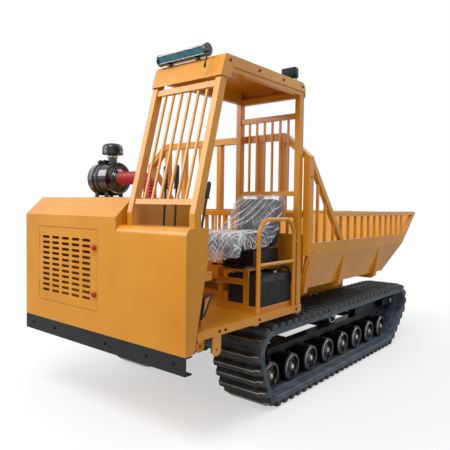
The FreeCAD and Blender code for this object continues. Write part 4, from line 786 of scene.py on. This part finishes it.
def folds(across, along, seed, width, faintest=0.15):
    """Taut folds: a ridge near each whole number of across, a bell curve over its own random width and
    place, with its own height, and dying away and coming back along its length by a sine."""
    random = np.random.RandomState(seed)
    place = random.uniform(-0.3, 0.3, FOLDS)
    thick = width * random.uniform(0.45, 1.25, FOLDS)
    high = random.uniform(faintest, 1.0, FOLDS)
    start = random.uniform(0, 2 * np.pi, FOLDS)
    number = np.round(across).astype(int)
    which = number % FOLDS
    beside = (across - number - place[which]) / thick[which]
    return high[which] * np.exp(-beside ** 2) * np.clip(0.55 + 0.9 * np.sin(along + start[which]), 0, 1)


def make_film():
    """A loose film over the seat. Down its length it follows FILM_LINE; across, it lies flat and
    falls over the sides. Long taut folds run slantwise down the back, others lie across the cushion
    and fan out over it, and short crossing ones crumple the sides and the hem. Each stands the film
    off its line, and a point attribute keeps their heights for its material, which paints a white highlight
    along them."""
    rows, columns = 340, 230
    middle = float(np.mean([measured("seat_cushion")[k][0] for k in (0, 1)]))
    line = smooth_path(np.array([(0.0, y, z) for y, z in FILM_LINE]), rows)[:, 1:]
    ahead = np.gradient(line, axis=0)
    ahead /= np.linalg.norm(ahead, axis=1)[:, None]
    out = np.stack([ahead[:, 1], -ahead[:, 0]], -1)
    v = np.linspace(0, 1, rows)[:, None]
    s = np.linspace(-1, 1, columns)[None, :]
    at = v * (1 - 0.05 * (1 + s))
    whole = np.linspace(0, 1, rows)
    here = np.stack([np.interp(at, whole, line[:, k]) for k in (0, 1)], -1)
    away = np.stack([np.interp(at, whole, out[:, k]) for k in (0, 1)], -1)
    stations = [0, 0.18, 0.24, 0.4, 0.55, 0.75, 0.84, 0.9, 1.0]
    half = np.interp(at, stations, [158, 165, 170, 182, 193, 196, 198, 200, 204])
    side_drop = np.interp(at, stations, [8, 36, 52, 84, 92, 84, 30, 12, 6])
    reach = half + side_drop
    bent = np.clip((np.abs(s) * reach - half) / np.maximum(side_drop, 1.0), 0, 1)
    flat = np.minimum(np.abs(s) * reach, half)
    wobble = ripple(s * 2.5, v * 5, 3)
    on_back = np.clip((0.56 - v) / 0.1, 0, 1)
    hanging = np.clip((v - 0.74) / 0.07, 0, 1)
    bend = ripple(s * 1.5, v * 3, 3)
    sway = ripple(s * 3, v * 9, 5)
    on_seat = (1 - on_back) * (1 - 0.8 * hanging)
    loose = np.clip(hanging + bent * (1 - on_back) + 0.2, 0, 1)
    taut = folds(s * 2.2 + v * 8.0 + 0.35 * bend, v * 9, 41, 0.055, 0.55)
    thin = folds(s * 6.5 + v * 23.0 + 0.8 * bend, v * 13 - s * 2, 42, 0.13, 0.3)
    cross = folds(s * 7.0 - v * 11.0 + 0.7 * sway, v * 30, 43, 0.09)
    main = on_back * np.maximum(1.1 * taut, thin)
    across_seat = folds(v * 44 + s * 3.5 + 1.1 * sway, s * 7, 44, 0.13)
    fan = folds(s * 5.5 + v * 12.0 + 0.6 * sway, v * 38, 45, 0.08)
    main = main + on_seat * np.maximum(0.9 * across_seat, fan)
    short = loose * np.maximum(folds(v * 44 - s * 10 + 0.7 * sway, s * 13 + v * 15, 46, 0.15),
                               folds(s * 11 + v * 20 - 0.6 * sway, v * 45, 47, 0.11))
    fine = 0.7 * cross + 0.5 * folds(s * 23 + v * 41 + 1.5 * wobble, v * 45 + s * 12, 48, 0.2)
    # How much white is painted at each point as a highlight: along the folds, more on the hanging hem,
    # faintly over the seat.
    crease = np.clip(main + 0.8 * short + 0.5 * fine + 0.2 * hanging + 0.06 * on_seat, 0, 1)
    lift = 3.0 + 7.0 * main + 5.0 * short + 2.0 * fine + 2.0 * (1 + ripple(s * 7, v * 15, 11))
    lift += hanging * 9.0 * (1 + ripple(s * 5, v * 10, 21))
    drop = side_drop * bent
    tuck = 1.0 - np.clip(bent * 4, 0, 1)
    y = here[..., 0] + away[..., 0] * (lift * tuck - drop)
    z = here[..., 1] + away[..., 1] * (lift * tuck - drop)
    x = middle + np.sign(s) * (flat + (1 - tuck) * lift)
    z = z + 24 * np.abs(ripple(s * 6, v * 0, 31)) * np.clip((v - 0.9) / 0.1, 0, 1)
    shape = Shape().grid(np.stack([x, y, z], -1), close_columns=False)
    mesh = bpy.data.meshes.new("seat_film")
    mesh.from_pydata(placed(np.concatenate(shape.points)).tolist(), [], shape.faces)
    fold = mesh.attributes.new("crease", "FLOAT", "POINT")
    fold.data.foreach_set("value", crease.ravel())
    mesh.shade_smooth()
    mesh.materials.append(FILM)
    film = linked("seat_film", mesh)
    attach(film, "seat")
    return film


# ---------------------------------------------------------------- intake

CLEANER_LEFT, CLEANER_RIGHT = -525.0, -315.0
CLEANER_Z = 1478.0
NECK_X = -381.0


def make_air_cleaner():
    """The can, its neck, the dome and the clamps are profiles swept round an axis; the saddles are
    flat arcs under the can, and the straps' latches are blocks and bent rods."""
    low, high = measured("air_cleaner")
    middle = (low[1] + high[1]) / 2
    centre = np.array([0.0, middle, CLEANER_Z])
    left, right, radius = CLEANER_LEFT, CLEANER_RIGHT, 115.0
    can = Shape()
    can.lathe([(left - 12, 0), (left - 12, 36), (left - 8, 42), (left - 3, 66), (left - 9, 92),
               (left - 4, 106), (left + 6, radius - 1), (left + 42, radius - 1),
               (left + 46, radius + 1), (left + 52, radius + 1), (left + 56, radius - 1),
               (left + 120, radius - 1), (left + 124, radius + 0.5), (left + 130, radius + 0.5),
               (left + 134, radius - 1),
               (right - 6, radius - 1), (right, radius - 3), (right + 1, 106), (right - 4, 100),
               (right - 4, 70), (right, 62), (right + 6, 58), (right + 8, 50), (right + 14, 46.5),
               (right + 20, 46.5), (right + 20, 0)], centre, (1, 0, 0), 80)
    can.lathe([(0, 30), (0, 34), (36, 33), (90, 32), (94, 37), (106, 38), (108, 33)],
              (NECK_X, middle, 1540), (0, 0, 1), 40)
    can.piece("cleaner_can", "chassis", "gloss_black", [STOVE_BLACK], ["air_cleaner"], 30)
    bands = Shape()
    for x in (left + 56, left + 104):
        bands.lathe([(x, 110), (x, radius + 3), (x + 3, radius + 5), (x + 17, radius + 5),
                     (x + 20, radius + 3), (x + 20, 110)], centre, (1, 0, 0), 80)
        top = centre + (x + 10, -46.0, 110.0)
        bands.block(top - (13, 13, 6), top + (13, 15, 12), 2.5)
        bands.pipe([top + (0, -22, 2), top + (0, -4, 18), top + (0, 20, 16), top + (0, 34, 6)], 5, 10)
        bands.pipe([top + (-16, -8, 10), top + (16, -8, 10)], 4, 10)
    for x in (left + 50, right - 50):
        bands.block((x - 22, middle - 78, 1340.5), (x + 22, middle + 78, 1349), 2)
        arc = np.linspace(-0.95, 0.95, 21)
        inner, outer = 115.5, 121.0
        cradle = [np.stack([0 * arc + x + side, middle + reach * np.sin(arc),
                            CLEANER_Z - reach * np.cos(arc)], -1)
                  for side, reach in ((-20, inner), (20, inner), (20, outer), (-20, outer))]
        bands.grid(np.stack(cradle, 1), caps=True)
        for side in (-1, 1):
            y = middle + side * 62
            bands.block((x - 18, y - 5, 1345), (x + 18, y + 5, 1386), 1.5)
    bands.piece("cleaner_straps", "chassis", "gloss_black", [GRIP])
    dome = Shape()
    dome.lathe([(1640, 0), (1640, 33.5), (1650, 34), (1651, 50), (1650, 66), (1648, 71), (1650, 74.5),
                (1656, 75), (1660, 73), (1688, 72.5), (1700, 70.5), (1711, 65), (1719, 56), (1724, 44),
                (1726, 30), (1727, 26), (1727.5, 0)], (NECK_X, middle, 0), (0, 0, 1), 64)
    for turn in np.arange(16) * np.pi / 8:
        spot = np.array([NECK_X + 58 * math.cos(turn), middle + 58 * math.sin(turn), 1647.0])
        dome.block(spot - (3, 3, 0), spot + (3, 3, 5), 1, 1)
    dome.piece("precleaner_dome", "chassis", "black_plastic", [DOME_PLASTIC], ["precleaner"], 40)
    clamp = Shape()
    clamp.lathe([(0, 33), (0, 37), (2, 39), (10, 39), (12, 37), (12, 33)], (NECK_X, middle, 1626),
                (0, 0, 1), 40)
    clamp.lathe([(right + 30, 45), (right + 30, 48.5), (right + 44, 48.5), (right + 44, 45)],
                centre, (1, 0, 0), 48)
    spot = centre + (right + 37, -22, 50)
    clamp.block(spot - (8, 12, 5), spot + (8, 12, 6), 2)
    clamp.piece("hose_clamps", "chassis", "bright_steel", [ZINC])


def make_hose():
    """A bellows duct: its radius rises and falls once every pitch along a run, a quarter turn
    and a drop into the hood."""
    low, high = measured("intake_hose")
    y, bend, drop_x, level = (low[1] + high[1]) / 2, 92.0, 14.0, CLEANER_Z
    run = np.linspace(low[0] + 1, drop_x - bend, 200)
    turn = np.linspace(0, np.pi / 2, 110)[1:]
    fall = np.linspace(level - bend, low[2] + 1, 60)[1:]
    path = np.concatenate([np.stack([run, 0 * run + y, 0 * run + level], -1),
                           np.stack([drop_x - bend + bend * np.sin(turn), 0 * turn + y,
                                     level - bend + bend * np.cos(turn)], -1),
                           np.stack([0 * fall + drop_x, 0 * fall + y, fall], -1)])
    length = run_length(path)
    pitch = 17.0
    wave = 0.5 - 0.5 * np.cos(2 * np.pi * length / pitch)
    cuff = np.clip((length - 34) / 10, 0, 1) * np.clip((length[-1] - 24 - length) / 10, 0, 1)
    radius = 45.0 - 6.0 * wave ** 1.4 * cuff
    hose = Shape().pipe(path, radius, 44)
    hose.piece("bellows_hose", "chassis", "red_hose", [HOSE_RED], ["intake_hose"], 60)


# ---------------------------------------------------------------- lamps

def make_light_bar():
    """An extruded lamp: a round body cut flat and slanting for the cover, with cooling fins behind,
    a bright brow line and a disc at each end."""
    low, high = measured("light_bar")
    left, right = low[0] + 10, high[0] - 10
    middle = np.array([0.0, (low[1] + high[1]) / 2, (2124.0 + high[2]) / 2])
    body = Shape()
    sweep = np.radians(np.linspace(158, -132, 41))
    ring = np.stack([0 * sweep, 34.5 * np.cos(sweep), 34.5 * np.sin(sweep)], -1)
    ring[:, 1] = np.minimum(ring[:, 1], 33.0)
    recess = np.array([(0, -20.0, -24.0), (0, -28.0, 11.5)])
    outline = np.concatenate([ring, recess])
    body.grid(np.stack([outline + middle + (x, 0, 0) for x in (left, (left + right) / 2, right)]), caps=True)
    for x in np.arange(left + 12, right - 8, 9.0):
        fin = middle + (x, 0, 0)
        body.block(fin + (0, 6, -28), fin + (3, 36.5, 24), 1, 1)
    for x, out in ((left, -1), (right, 1)):
        disc = [(0, 0), (0, 33), (out, 36), (out * 8, 36.5), (out * 10, 34), (out * 10, 27),
                (out * 8, 25), (out * 8, 0)]
        body.lathe(disc, middle + (x, 0, 0), (1, 0, 0), 56)
        for turn in (0.6, 2.5, 3.8, 5.6):
            spot = middle + (x + out * 8, 18 * math.cos(turn), 18 * math.sin(turn))
            body.grid(hexagon(spot, (out, 0, 0), 3.5, 2.5))
    for x in (left + 73, right - 72):
        body.block(middle + (x - 18, -16, -41), middle + (x + 18, 20, -37), 1.5)
        body.block(middle + (x - 12, -10, -39), middle + (x + 12, 14, -30), 2)
        body.block(middle + (x - 5, -34, -36), middle + (x + 5, 0, -30), 2)
    body.piece("light_housing", "chassis", "lamp_body", [STOVE_BLACK], ["light_bar"], 35)
    trim = Shape()
    for y, z, thick in ((-32.6, 14.5, 2.6), (-22.8, -26.8, 1.6)):
        trim.pipe([middle + (left + 1, y, z), middle + (right - 1, y, z)], thick, 10)
    trim.block(middle + (left + 1, -30, 19), middle + (right - 1, -22, 24.5), 2.5)
    trim.piece("light_trims", "chassis", "bright_steel", [SILVER_TRIM])
    face = np.array([0.0, 8.0, 35.5]) / 36.4
    away = np.array([0.0, -face[2], face[1]])
    start = middle + (0, -19.0, -23.0)
    cups = Shape()
    columns, rows = 18, 3
    for i in range(columns):
        for j in range(rows):
            spot = start + (left + 14 + (right - left - 28) * (i + 0.5) / columns, 0, 0)
            spot = spot + np.array([0, -face[1], face[2]]) * (6.5 + 11.3 * j)
            cup = [(0, 0), (0, 5.4), (2, 5.4), (-1, 3.6), (-2, 1.8), (-1, 1.2), (-1, 0)]
            cups.lathe(cup, spot + away, away, 12)
    cups.piece("light_reflectors", "chassis", "lamp_body", [CUPS])
    cover = Shape()
    lower, upper = middle + (0, -22.8, -25.2), middle + (0, -31.4, 12.6)
    corners = [lower, upper, upper - away * 2.5, lower - away * 2.5]
    cover.grid(np.stack([np.array(corners) + (x, 0, 0) for x in (left + 3, right - 3)]), caps=True)
    cover.piece("light_cover", "chassis", "lens", [LENS], ["light_bar_lens"])


def make_rear_lamp():
    """A box lamp on a U bracket: cooling ribs on its front side and a grid of small reflectors on
    the side that lights the load."""
    low, high = measured("rear_lamp")
    lamp = Shape()
    lamp.block((low[0], low[1], 2142), (high[0] - 2, 1058, high[2]), 5, 3)
    for k in range(8):
        x = low[0] + 6 + 12.5 * k
        lamp.block((x, 1056, 2146), (x + 4, 1070, high[2] - 5), 1, 1)
    lamp.block((low[0] + 35, 1020, low[2]), (low[0] + 70, 1050, low[2] + 4), 1)
    for x in (low[0] + 3, high[0] - 8):
        lamp.block((x, 1028, low[2] + 3), (x + 4, 1042, 2182), 1)
    lamp.block((low[0] + 3, 1028, low[2] + 3), (high[0] - 4, 1042, low[2] + 7), 1)
    for i in range(5):
        for j in range(3):
            spot = (low[0] + 16 + 18.5 * i, low[1] + 0.5, 2156 + 19 * j)
            lamp.lathe([(0, 8), (-0.4, 8), (2.5, 5), (4, 0)], spot, (0, 1, 0), 14, mark=1)
    lamp.piece("rear_lamp_body", "chassis", "lamp_body", [LAMP_METAL, CUPS], ["rear_lamp"])


# ---------------------------------------------------------------- batteries, levers, knobs

def make_batteries():
    """Two batteries side by side: ribbed case, overhanging lid, filler caps, and posts with clamps."""
    low, high = measured("batteries")
    top = high[2] - 14
    shape, posts = Shape(), Shape()
    for y0, y1 in ((low[1] + 2, low[1] + 171), (high[1] - 171, high[1] - 2)):
        shape.block((low[0] + 5, y0 + 1, low[2]), (high[0] - 5, y1 - 1, top - 20), 4)
        shape.block((low[0] + 1, y0 - 2, top - 24), (high[0], y1 + 2, top - 10), 3)
        shape.block((low[0] + 8, y0 + 4, top - 14), (high[0] - 8, y1 - 4, top - 2), 4)
        shape.block((low[0] + 60, y0 + 50, top - 4), (high[0] - 60, y1 - 40, top + 3), 3)
        for y in np.linspace(y0 + 22, y1 - 22, 9):
            for x0, x1 in ((high[0] - 6.5, high[0] - 1.5), (low[0] + 1.5, low[0] + 6.5)):
                shape.block((x0, y - 4, low[2] + 22), (x1, y + 4, top - 48), 1.5, 1)
        for x in np.linspace(low[0] + 24, high[0] - 24, 13):
            for ya, yb in ((y0 - 2.5, y0 + 2), (y1 - 2, y1 + 2.5)):
                shape.block((x - 4, ya, low[2] + 22), (x + 4, yb, top - 48), 1.5, 1)
        shape.block((high[0] - 7, y0 + 1, top - 44), (high[0] - 0.5, y1 - 1, top - 38), 1.5, 1)
        for k in range(6):
            spot = (low[0] + 75 + 22 * k, (y0 + y1) / 2 + 5, top + 2.5)
            shape.lathe([(0, 0), (0, 9), (3, 9), (4, 7.5), (4, 0)], spot, (0, 0, 1), 20)
        for x in (500.0, 700.0):
            post = [(0, 0), (0, 12), (4, 12), (5, 9), (15, 8), (16, 0)]
            posts.lathe(post, (x, y0 + 26, top - 2), (0, 0, 1), 20)
            posts.block((x - 11, y0 + 14, top + 2), (x + 11, y0 + 38, top + 10), 3)
    shape.piece("battery_cases", "chassis", "black_plastic", [BATTERY_CASE], ["batteries"])
    posts.piece("battery_clamps", "chassis", "bright_steel", [ZINC])


def make_levers():
    """Each lever's rod is turned steel but drawn, like its grip, in the black rubber finish; the grip is a
    ribbed rubber sleeve with a collar.
    """
    places = {"steering_lever_left": (397.0, 262.0, 700.0, (300, 1340), (306, 1524), 126, 15.0),
              "steering_lever_right": (303.0, 262.0, 700.0, (300, 1340), (306, 1524), 126, 15.0),
              "gear_lever": (690.0, 163.0, 1000.0, (206, 1181), (262, 1418), 78, 13.0)}
    for name, (x, y, z, knee, top, grip, radius) in places.items():
        joint = Shape()
        boss = [(-15, 8.9), (-15, 14), (-13, 16), (13, 16), (15, 14), (15, 8.9)]
        joint.lathe(boss, (x, y, z), (1, 0, 0), 28, close_rows=True)
        knee_point, end = np.array([x, *knee]), np.array([x, *top])
        start = np.array([x, y, z]) + 14 * unit(knee_point - (x, y, z))
        direction = unit(end - knee_point)
        rod = smooth_path([start, (start + knee_point) / 2, knee_point, end - direction * (grip + 4)], 40)
        joint.pipe(rod, 6.8, 16)
        profile = [(-grip - 6, 0), (-grip - 6, radius * 0.75), (-grip - 4, radius * 1.25),
                   (-grip + 2, radius * 1.25), (-grip + 4, radius * 0.85)]
        ribs = np.linspace(-grip + 6, -12, 41)
        profile += [(r, radius * (0.93 + 0.055 * (k % 2))) for k, r in enumerate(ribs)]
        cap = np.linspace(0, np.pi / 2, 8)
        profile += [(-8 + 20 * np.sin(t), radius * np.cos(t)) for t in cap]
        joint.lathe(profile, end, direction, 28)
        joint.piece(name + "_detail", name, "grip_rubber", [GRIP], [name], 50)


def make_seat_runners():
    """The seat's two sliding runners with the bar that frees them, all in black."""
    low, high = measured("seat_base")
    shape = Shape()
    for x in (425.0, 605.0):
        shape.block((x - 3, low[1], 907.5), (x + 23, high[1], 921), 1.5)
        shape.block((x - 1, 700, 908), (x + 21, low[1] + 10, 917), 1.5)
    shape.block((424, 697, 907), (626, 717, 919), 2)
    shape.pipe([(424, 707, 913), (400, 690, 914), (372, 676, 915)], 5, 12)
    grip = [(0, 0), (0, 8), (26, 9), (30, 6), (30, 0)]
    shape.lathe(grip, (392, 685, 914.5), (-0.82, -0.57, 0.03), 16, mark=1)
    shape.piece("seat_runners", "seat", "black_plastic", [BLACK_PLASTIC, GRIP])


def make_pedal_rubber():
    """A moulded rubber edge pushed over the rim of the pedal and of its two side webs."""
    low, high = measured("brake_pedal")
    shape = Shape()
    x0, x1 = low[0] + 2, high[0] - 2
    head = [(x0, 301, 797), (x1, 301, 797)]
    edges = [head]
    for x in (x0, x1):
        edges += [[(x, 234, 683), (x, 301, 797)], [(x, 219, 672), (x, 241, 789)],
                  [(x, 241, 789), (x, 300, 800)]]
    for first, last in edges:
        shape.pipe(np.linspace(first, last, 5), 7.0, 14)
    for x in (x0, x1):
        for y, z in ((301, 797), (241, 789)):
            ball = [(-7 * math.cos(t), 7 * math.sin(t)) for t in np.linspace(0, math.pi, 9)]
            shape.lathe(ball, (x, y, z), (0, 0, 1), 14)
    shape.piece("pedal_rubber", "brake_pedal", "grip_rubber", [GRIP])


def make_knobs():
    """Each door catch's red cap: a profile swept round the catch, with a finger bar across it."""
    for name in ("door_knob_upper", "door_knob_lower"):
        low, high = measured(name)
        centre = np.array([(low[0] + high[0]) / 2, 0, (low[2] + high[2]) / 2])
        knob = Shape()
        knob.lathe([(-0.5, 0), (-0.5, 8), (-4, 8), (-4, 15.5), (-6, 17.3), (-13, 17.3), (-16, 15.5),
                    (-17.5, 11), (-17.8, 0)], centre, (0, 1, 0), 40)
        knob.block(centre + (-12, -17.9, -3), centre + (12, -15.5, 3), 1.1, mark=1)
        knob.piece(name + "_cap", name, "red_plastic", [RED_PLASTIC, BLACK_PLASTIC], [name])


# ---------------------------------------------------------------- cords

def nurbs(name, points, radius, body, replaces, finish):
    """A cable on one smooth NURBS line through its control points, in millimetres."""
    curve = bpy.data.curves.new(name, "CURVE")
    curve.dimensions = "3D"
    curve.bevel_depth = radius / 1000.0
    curve.bevel_resolution = 6
    curve.resolution_u = 12
    curve.use_fill_caps = True
    spline = curve.splines.new("NURBS")
    spline.points.add(len(points) - 1)
    for control, spot in zip(spline.points, placed(points)):
        control.co = (*spot, 1.0)
    spline.order_u = 3
    spline.use_endpoint_u = True
    curve.materials.append(finish)
    made = linked(name, curve)
    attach(made, body)
    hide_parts(*replaces)
    return made


CABLE_POINTS = [(700, 906, 887.3), (701, 960, 896), (703, 1012, 899), (706, 1056, 885), (709, 1082, 846),
                (707, 1088, 798), (700, 1080, 752), (692, 1066, 710), (690, 1062, 660)]
LEAD_POINTS = [(650.3, 292, 2150), (668, 292, 2150), (683, 278, 2146), (690, 258, 2136), (688, 241, 2116),
               (680, 235, 2086), (671, 236, 2052)]


def make_cords():
    """The battery cable, ending in a lug under the batteries, and the lamp's lead, ending in a plug."""
    cable = nurbs("battery_cable_line", CABLE_POINTS, 7.0, "chassis", ["battery_cable"], GRIP)
    lug = Shape().block((680, 1053, 645.5), (700, 1071, 659), 3)
    lug = lug.piece("battery_cable_lug", "chassis", "bright_steel", [ZINC])
    tuple(placed(CABLE_POINTS[0]))
    lead = nurbs("lamp_lead_line", LEAD_POINTS, 4.0, "chassis", ["lamp_lead"], GRIP)
    end, before = np.array(LEAD_POINTS[-1], float), np.array(LEAD_POINTS[-2], float)
    way = unit(end - before)
    profile = [(0, 0), (0, 5), (3, 7), (16, 7), (18, 5.5), (22, 5.5), (22, 0)]
    plug = Shape().lathe(profile, end - way * 14, way, 20)
    plug = plug.piece("lamp_lead_plug", "chassis", "grip_rubber", [GRIP])
    tuple(placed(LEAD_POINTS[0]))


# ---------------------------------------------------------------- stage

# What the floor's glow and the surround give as light, next to 1 as the camera sees them, and the
# floor's fade: from this far to this far out in metres, from this much glow to this much.
FLOOR_BOUNCE, WORLD_LIGHT = 0.42, 0.52
FLOOR_FADE = (1.9, 3.6, 0.55, 1.0)
FLOOR_RADIUS = 60.0


def make_stage():
    """A pale floor that keeps a soft shadow near the machine and fades to white farther off, a
    white surround that lights less than it shows, and soft lamps above."""
    floor = bpy.data.meshes.new("floor")
    turn = np.linspace(0, 2 * np.pi, 96, endpoint=False)
    edge = np.stack([FLOOR_RADIUS * np.cos(turn), FLOOR_RADIUS * np.sin(turn), 0 * turn - 0.0005], -1)
    floor.from_pydata(edge.tolist(), [], [list(range(len(edge)))])
    pale, tree, surface, where = new_material("studio floor, matt white", roughness=0.9)
    surface.inputs["Base Color"].default_value = linear("#f6f6f6")
    surface.inputs["Specular IOR Level"].default_value = 0.0
    far = add(tree, "VectorMath", {0: where}, operation="LENGTH").outputs["Value"]
    seen = add(tree, "LightPath").outputs["Is Camera Ray"]
    bright = spread(tree, seen, 0, 1, FLOOR_BOUNCE, 1.0)
    glow = add(tree, "Emission", {"Color": (1.0, 1.0, 1.0, 1.0), "Strength": bright}).outputs["Emission"]
    mixed = add(tree, "MixShader", {0: spread(tree, far, *FLOOR_FADE)})
    tree.links.new(surface.outputs["BSDF"], mixed.inputs[1])
    tree.links.new(glow, mixed.inputs[2])
    tree.links.new(mixed.outputs[0], tree.nodes["Material Output"].inputs["Surface"])
    floor.materials.append(pale)
    stage = linked("floor", floor)
    world = bpy.data.worlds.new("studio")
    bpy.context.scene.world = world
    world.use_nodes = True
    tree = world.node_tree
    ray = add(tree, "LightPath").outputs
    shown = add(tree, "Math", {0: ray["Is Camera Ray"], 1: ray["Is Glossy Ray"]}, operation="ADD")
    shown = add(tree, "Math", {0: shown.outputs["Value"], 1: ray["Is Transmission Ray"]},
                operation="ADD", use_clamp=True).outputs["Value"]
    strength = spread(tree, shown, 0.0, 1.0, WORLD_LIGHT, 1.0)
    tree.nodes["Background"].inputs["Color"].default_value = (1.0, 1.0, 1.0, 1.0)
    tree.links.new(strength, tree.nodes["Background"].inputs["Strength"])
    add_lamp("key", (1.2, -5.5, 8.0), (0.0, -0.5, 1.0), 3.5, 420.0)
    add_lamp("fill", (-4.5, -6.5, 5.0), (0.0, 0.0, 1.0), 4.0, 255.0)
    add_lamp("back", (2.5, 6.0, 6.0), (0.0, 0.0, 1.0), 4.0, 140.0)
    bpy.context.scene.view_settings.view_transform = "Standard"


set_camera()
finish_nodes()
make_cords()
for side in ("left", "right"):
    make_track(side)
    make_rollers(side)
make_seat()
film = make_film()
make_air_cleaner()
make_hose()
make_light_bar()
make_rear_lamp()
make_batteries()
make_levers()
make_knobs()
make_seat_runners()
make_pedal_rubber()
make_stage()
